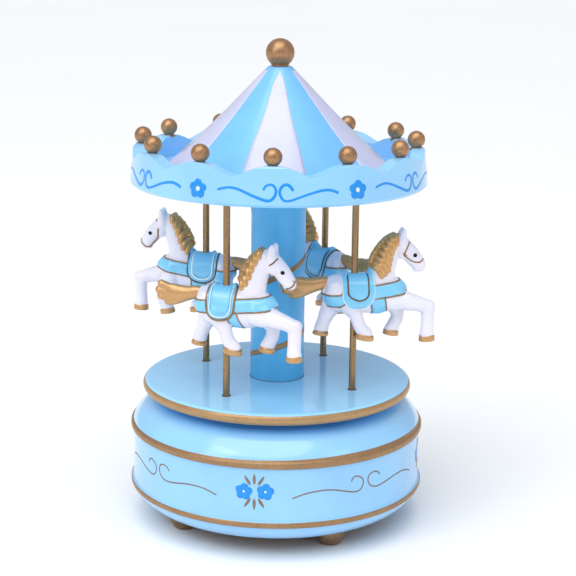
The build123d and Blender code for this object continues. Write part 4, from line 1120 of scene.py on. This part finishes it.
# by pole: heading and nose-up in degrees, height of the horse's datum, its mane, the rump band's lower and upper
# edge heights, blanket and its inner line (rear x, front x, low z), their paints and widths,
# girth (x at the side, x below, half width), bridle style
RIG = {
    1: dict(heading=-18.0, pitch=0.0, datum=66.0, mane=SHORT_MANE,
            rump=((19.2, 19.1, 18.8), (23.7, 23.7, 23.2)),
            blanket=(-5.7, 4.7, 17.0), inner=(-4.5, 3.5, 18.2),
            inner_look=M_TACK_PALE, outer_look=M_TRIM, outer_w=0.85, inner_w=0.5,
            girth=(3.0, 5.0, 2.2), bridle="a"),
    2: dict(heading=6.0, pitch=0.3, datum=68.8, mane=MANE,
            rump=((18.2, 17.0, 16.8), (22.6, 21.5, 21.2)),
            blanket=(-4.9, 6.8, 16.2), inner=(-2.9, 4.6, 19.6),
            inner_look=M_TRIM_DARK, outer_look=M_TACK_PALE, outer_w=0.45, inner_w=0.6,
            girth=(7.9, 9.0, 2.7), bridle="c"),
    3: dict(heading=135.0, pitch=0.0, datum=68.6, mane=MANE,
            rump=((18.3, 17.9, 17.6), (22.8, 22.6, 22.3)),
            blanket=(-5.6, 5.8, 16.6), inner=(-4.2, 4.2, 18.2),
            inner_look=M_TRIM_DARK, outer_look=M_TRIM_DARK, outer_w=0.6, inner_w=0.4,
            girth=(4.4, 5.6, 2.4), bridle="c"),
    4: dict(heading=170.5, pitch=0.8, datum=68.2, mane=SHORT_MANE,
            rump=((18.3, 17.9, 17.6), (22.8, 22.6, 22.3)),
            blanket=(-5.0, 6.2, 17.6), inner=(-3.6, 4.4, 19.2),
            inner_look=M_TACK_PALE, outer_look=M_TRIM_DARK, outer_w=0.65, inner_w=0.75,
            girth=(1.8, 2.2, 2.9), bridle="b"),
}


def horse(k, rig):
    lo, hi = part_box("pole_%d" % k)
    pole = Vector(((lo.x + hi.x) / 2, (lo.y + hi.y) / 2, (rig["datum"] + 20.0) * MM))
    place = (Matrix.Translation(pole) @ Matrix.Rotation(radians(rig["heading"]), 4, "Z")
             @ Matrix.Rotation(-radians(rig["pitch"]), 4, "Y") @ Matrix.Translation((0, 0, -20.0 * MM)))

    def add(part, mesh, look, replaces=()):
        return piece("horse_%d_%s" % (k, part), mesh, look, "carousel", replaces, place)

    add("moulding", HORSE_MESH, M_HORSE, replaces=["horse_%d" % k])
    add("mane", rig["mane"], M_MANE)
    add("tail", TAIL, M_TAIL)
    add("hooves", HOOF, M_TAIL)
    add("eyes", EYES, M_EYE)

    blue, trim, dark, pale = Shell(), Shell(), Shell(), Shell()
    shelf = {M_TRIM: trim, M_TRIM_DARK: dark, M_TACK_PALE: pale}
    x0, x1, z_low = rig["blanket"]
    flap(blue, x0, x1, z_low, 0.55)
    flap(blue, x0 + 1.7, x1 - 1.7, z_low + 2.2, 0.95)
    P, N = flap_edge(x0, x1, z_low, 0.42)
    tube(shelf[rig["outer_look"]], P, rig["outer_w"] / 2, side=N, flat=0.8, sides=8, closed=True)
    P, N = flap_edge(*rig["inner"], 0.98)
    tube(shelf[rig["inner_look"]], P, rig["inner_w"] / 2, side=N, flat=0.7, sides=8, closed=True)
    # saddle pommel and cantle
    for x, top, wide in ((x1 - 1.3, 28.9, 1.7), (x0 + 1.9, 28.7, 2.1)):
        tube(blue, curve([(x, -wide, 27.1), (x, -wide * 0.6, top - 0.35), (x, 0, top), (x, wide * 0.6, top - 0.35),
                          (x, wide, 27.1)], 5), 0.75, side=np.tile([1.0, 0, 0], (21, 1)), sides=10)
    straps = [(wrap_band(blue, 14.0, x1 - 0.8, (19.6, 21.0, 22.2), (24.5, 25.6, 26.2), 0.42), 0.27),
              (wrap_band(blue, -5.6, x0 + 0.8, *rig["rump"], 0.42), 0.27), (girth(blue, *rig["girth"], 0.35), 0.22)]
    for (low, low_n, high, high_n), thick in straps:
        tube(trim, low, thick, side=low_n, flat=0.7, sides=8)
        tube(trim, high, thick, side=high_n, flat=0.7, sides=8)
    for s in (-1, 1):
        for look, points, width, *lift in BRIDLES[rig["bridle"]]:
            face_line(shelf[look], points, s, width, *lift)
    add("tack", blue.mesh("tack_%d" % k), M_TACK)
    add("gold_lines", trim.mesh("trim_%d" % k), M_TRIM)
    if dark.f:
        add("dark_lines", dark.mesh("dark_%d" % k), M_TRIM_DARK)
    if pale.f:
        add("pale_lines", pale.mesh("pale_%d" % k), M_TACK_PALE)


for number, rig in RIG.items():
    horse(number, rig)


# ---------------------------------------------------------------- pole feet
def pole_seats():
    """A dark ring where each rod enters the turntable: painted shade of the narrow gap round the rod."""
    sh = Shell()
    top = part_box("turntable")[1].z * TO_MM
    for k in range(1, 5):
        cx, cy = centre_mm("pole_%d" % k)
        r = random.Random(600 + k)
        a = around(36)
        rad = 1.45 + 0.06 * np.sin(3 * a + r.uniform(0, 6)) + 0.04 * np.sin(7 * a + r.uniform(0, 6))
        path = np.stack([cx + rad * np.cos(a), cy + rad * np.sin(a), np.full(36, top + 0.02)], 1)
        tube(sh, path, 0.26, side=np.tile([0, 0, 1.0], (36, 1)), flat=0.7, sides=8, closed=True)
    # dark rings of painted shade round the rods' feet
    piece("pole_seats", sh, M_TRIM_DARK, "carousel")


pole_seats()


def column_seat():
    """A thin dark line round the foot of the column, where it meets the turntable."""
    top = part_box("turntable")[1].z * TO_MM
    a = around(120)
    rad = COLUMN_R + 0.05 + wander(120, 0.06, 71)
    sh = Shell()
    path = np.stack([rad * np.cos(a), rad * np.sin(a), np.full(120, top + 0.02)], 1)
    tube(sh, path, 0.17, side=np.tile([0, 0, 1.0], (120, 1)), flat=0.7, sides=8, closed=True)
    piece("column_seat", sh, M_TRIM_DARK, "carousel")


column_seat()


# ---------------------------------------------------------------- stage
def floor():
    me = bpy.data.meshes.new("floor")
    half = 9.0
    me.from_pydata([(-half, -half, 0), (half, -half, 0), (half, half, 0), (-half, half, 0)], [], [(0, 1, 2, 3)])
    o = put("floor", me)
    m = Mat("studio_floor", Roughness=0.9)
    m.bsdf.inputs["Specular IOR Level"].default_value = 0.1
    m.set("Base Color", m.ramp(m.noise(0.002, 2.0), (0.3, (0.955, 0.96, 0.965, 1)), (0.7, (0.975, 0.98, 0.985, 1))))
    me.materials.append(m.mat)


floor()
world = bpy.data.worlds.new("studio")
bpy.context.scene.world = world
world.use_nodes = True
world.node_tree.nodes["Background"].inputs["Color"].default_value = (0.92, 0.95, 1.0, 1)
world.node_tree.nodes["Background"].inputs["Strength"].default_value = 0.54


def softbox(name, place, aim, width, height, watts, colour=(1, 1, 1)):
    light = bpy.data.lights.new(name, "AREA")
    light.shape, light.size, light.size_y = "RECTANGLE", width, height
    light.energy, light.color = watts, colour
    o = put(name, light)
    o.location = place
    o.rotation_euler = (Vector(aim) - Vector(place)).to_track_quat("-Z", "Y").to_euler()


sun = bpy.data.lights.new("skylight", "SUN")
sun.energy, sun.angle = 1.70, radians(60)
sky = put("skylight", sun)
sky.rotation_euler = (radians(25), radians(-10), 0)

softbox("overhead", (0.05, -0.15, 1.25), (0, 0, 0.08), 1.1, 1.1, 1.2, (1.0, 0.99, 0.98))
softbox("key", (-0.85, -0.75, 0.75), (0, 0, 0.09), 0.45, 0.8, 2.5, (1.0, 0.98, 0.96))
softbox("fill", (0.95, -0.70, 0.60), (0, 0, 0.09), 0.4, 0.7, 0.9, (0.85, 0.88, 1.0))

camera = bpy.data.cameras.new("camera")
view = put("camera", camera)
bpy.context.scene.camera = view
camera.sensor_width = 36.0
camera.lens = 96.175
camera.clip_start, camera.clip_end = 0.01, 50.0
TARGET = Vector((3.817, 0.0, 87.219)) * MM
DISTANCE, ELEVATION, ROLL = 0.57566, radians(13.2), radians(0.684)
back = Vector((0, -cos(ELEVATION), sin(ELEVATION)))
view.location = TARGET + back * DISTANCE
right = Vector((cos(ROLL), 0, 0)) + Vector((0, sin(ELEVATION), cos(ELEVATION))) * sin(ROLL)
up = back.cross(right)
view.rotation_euler = Matrix((right, up, back)).transposed().to_euler()

scene = bpy.context.scene
scene.view_settings.view_transform = "Standard"
scene.view_settings.look = "None"
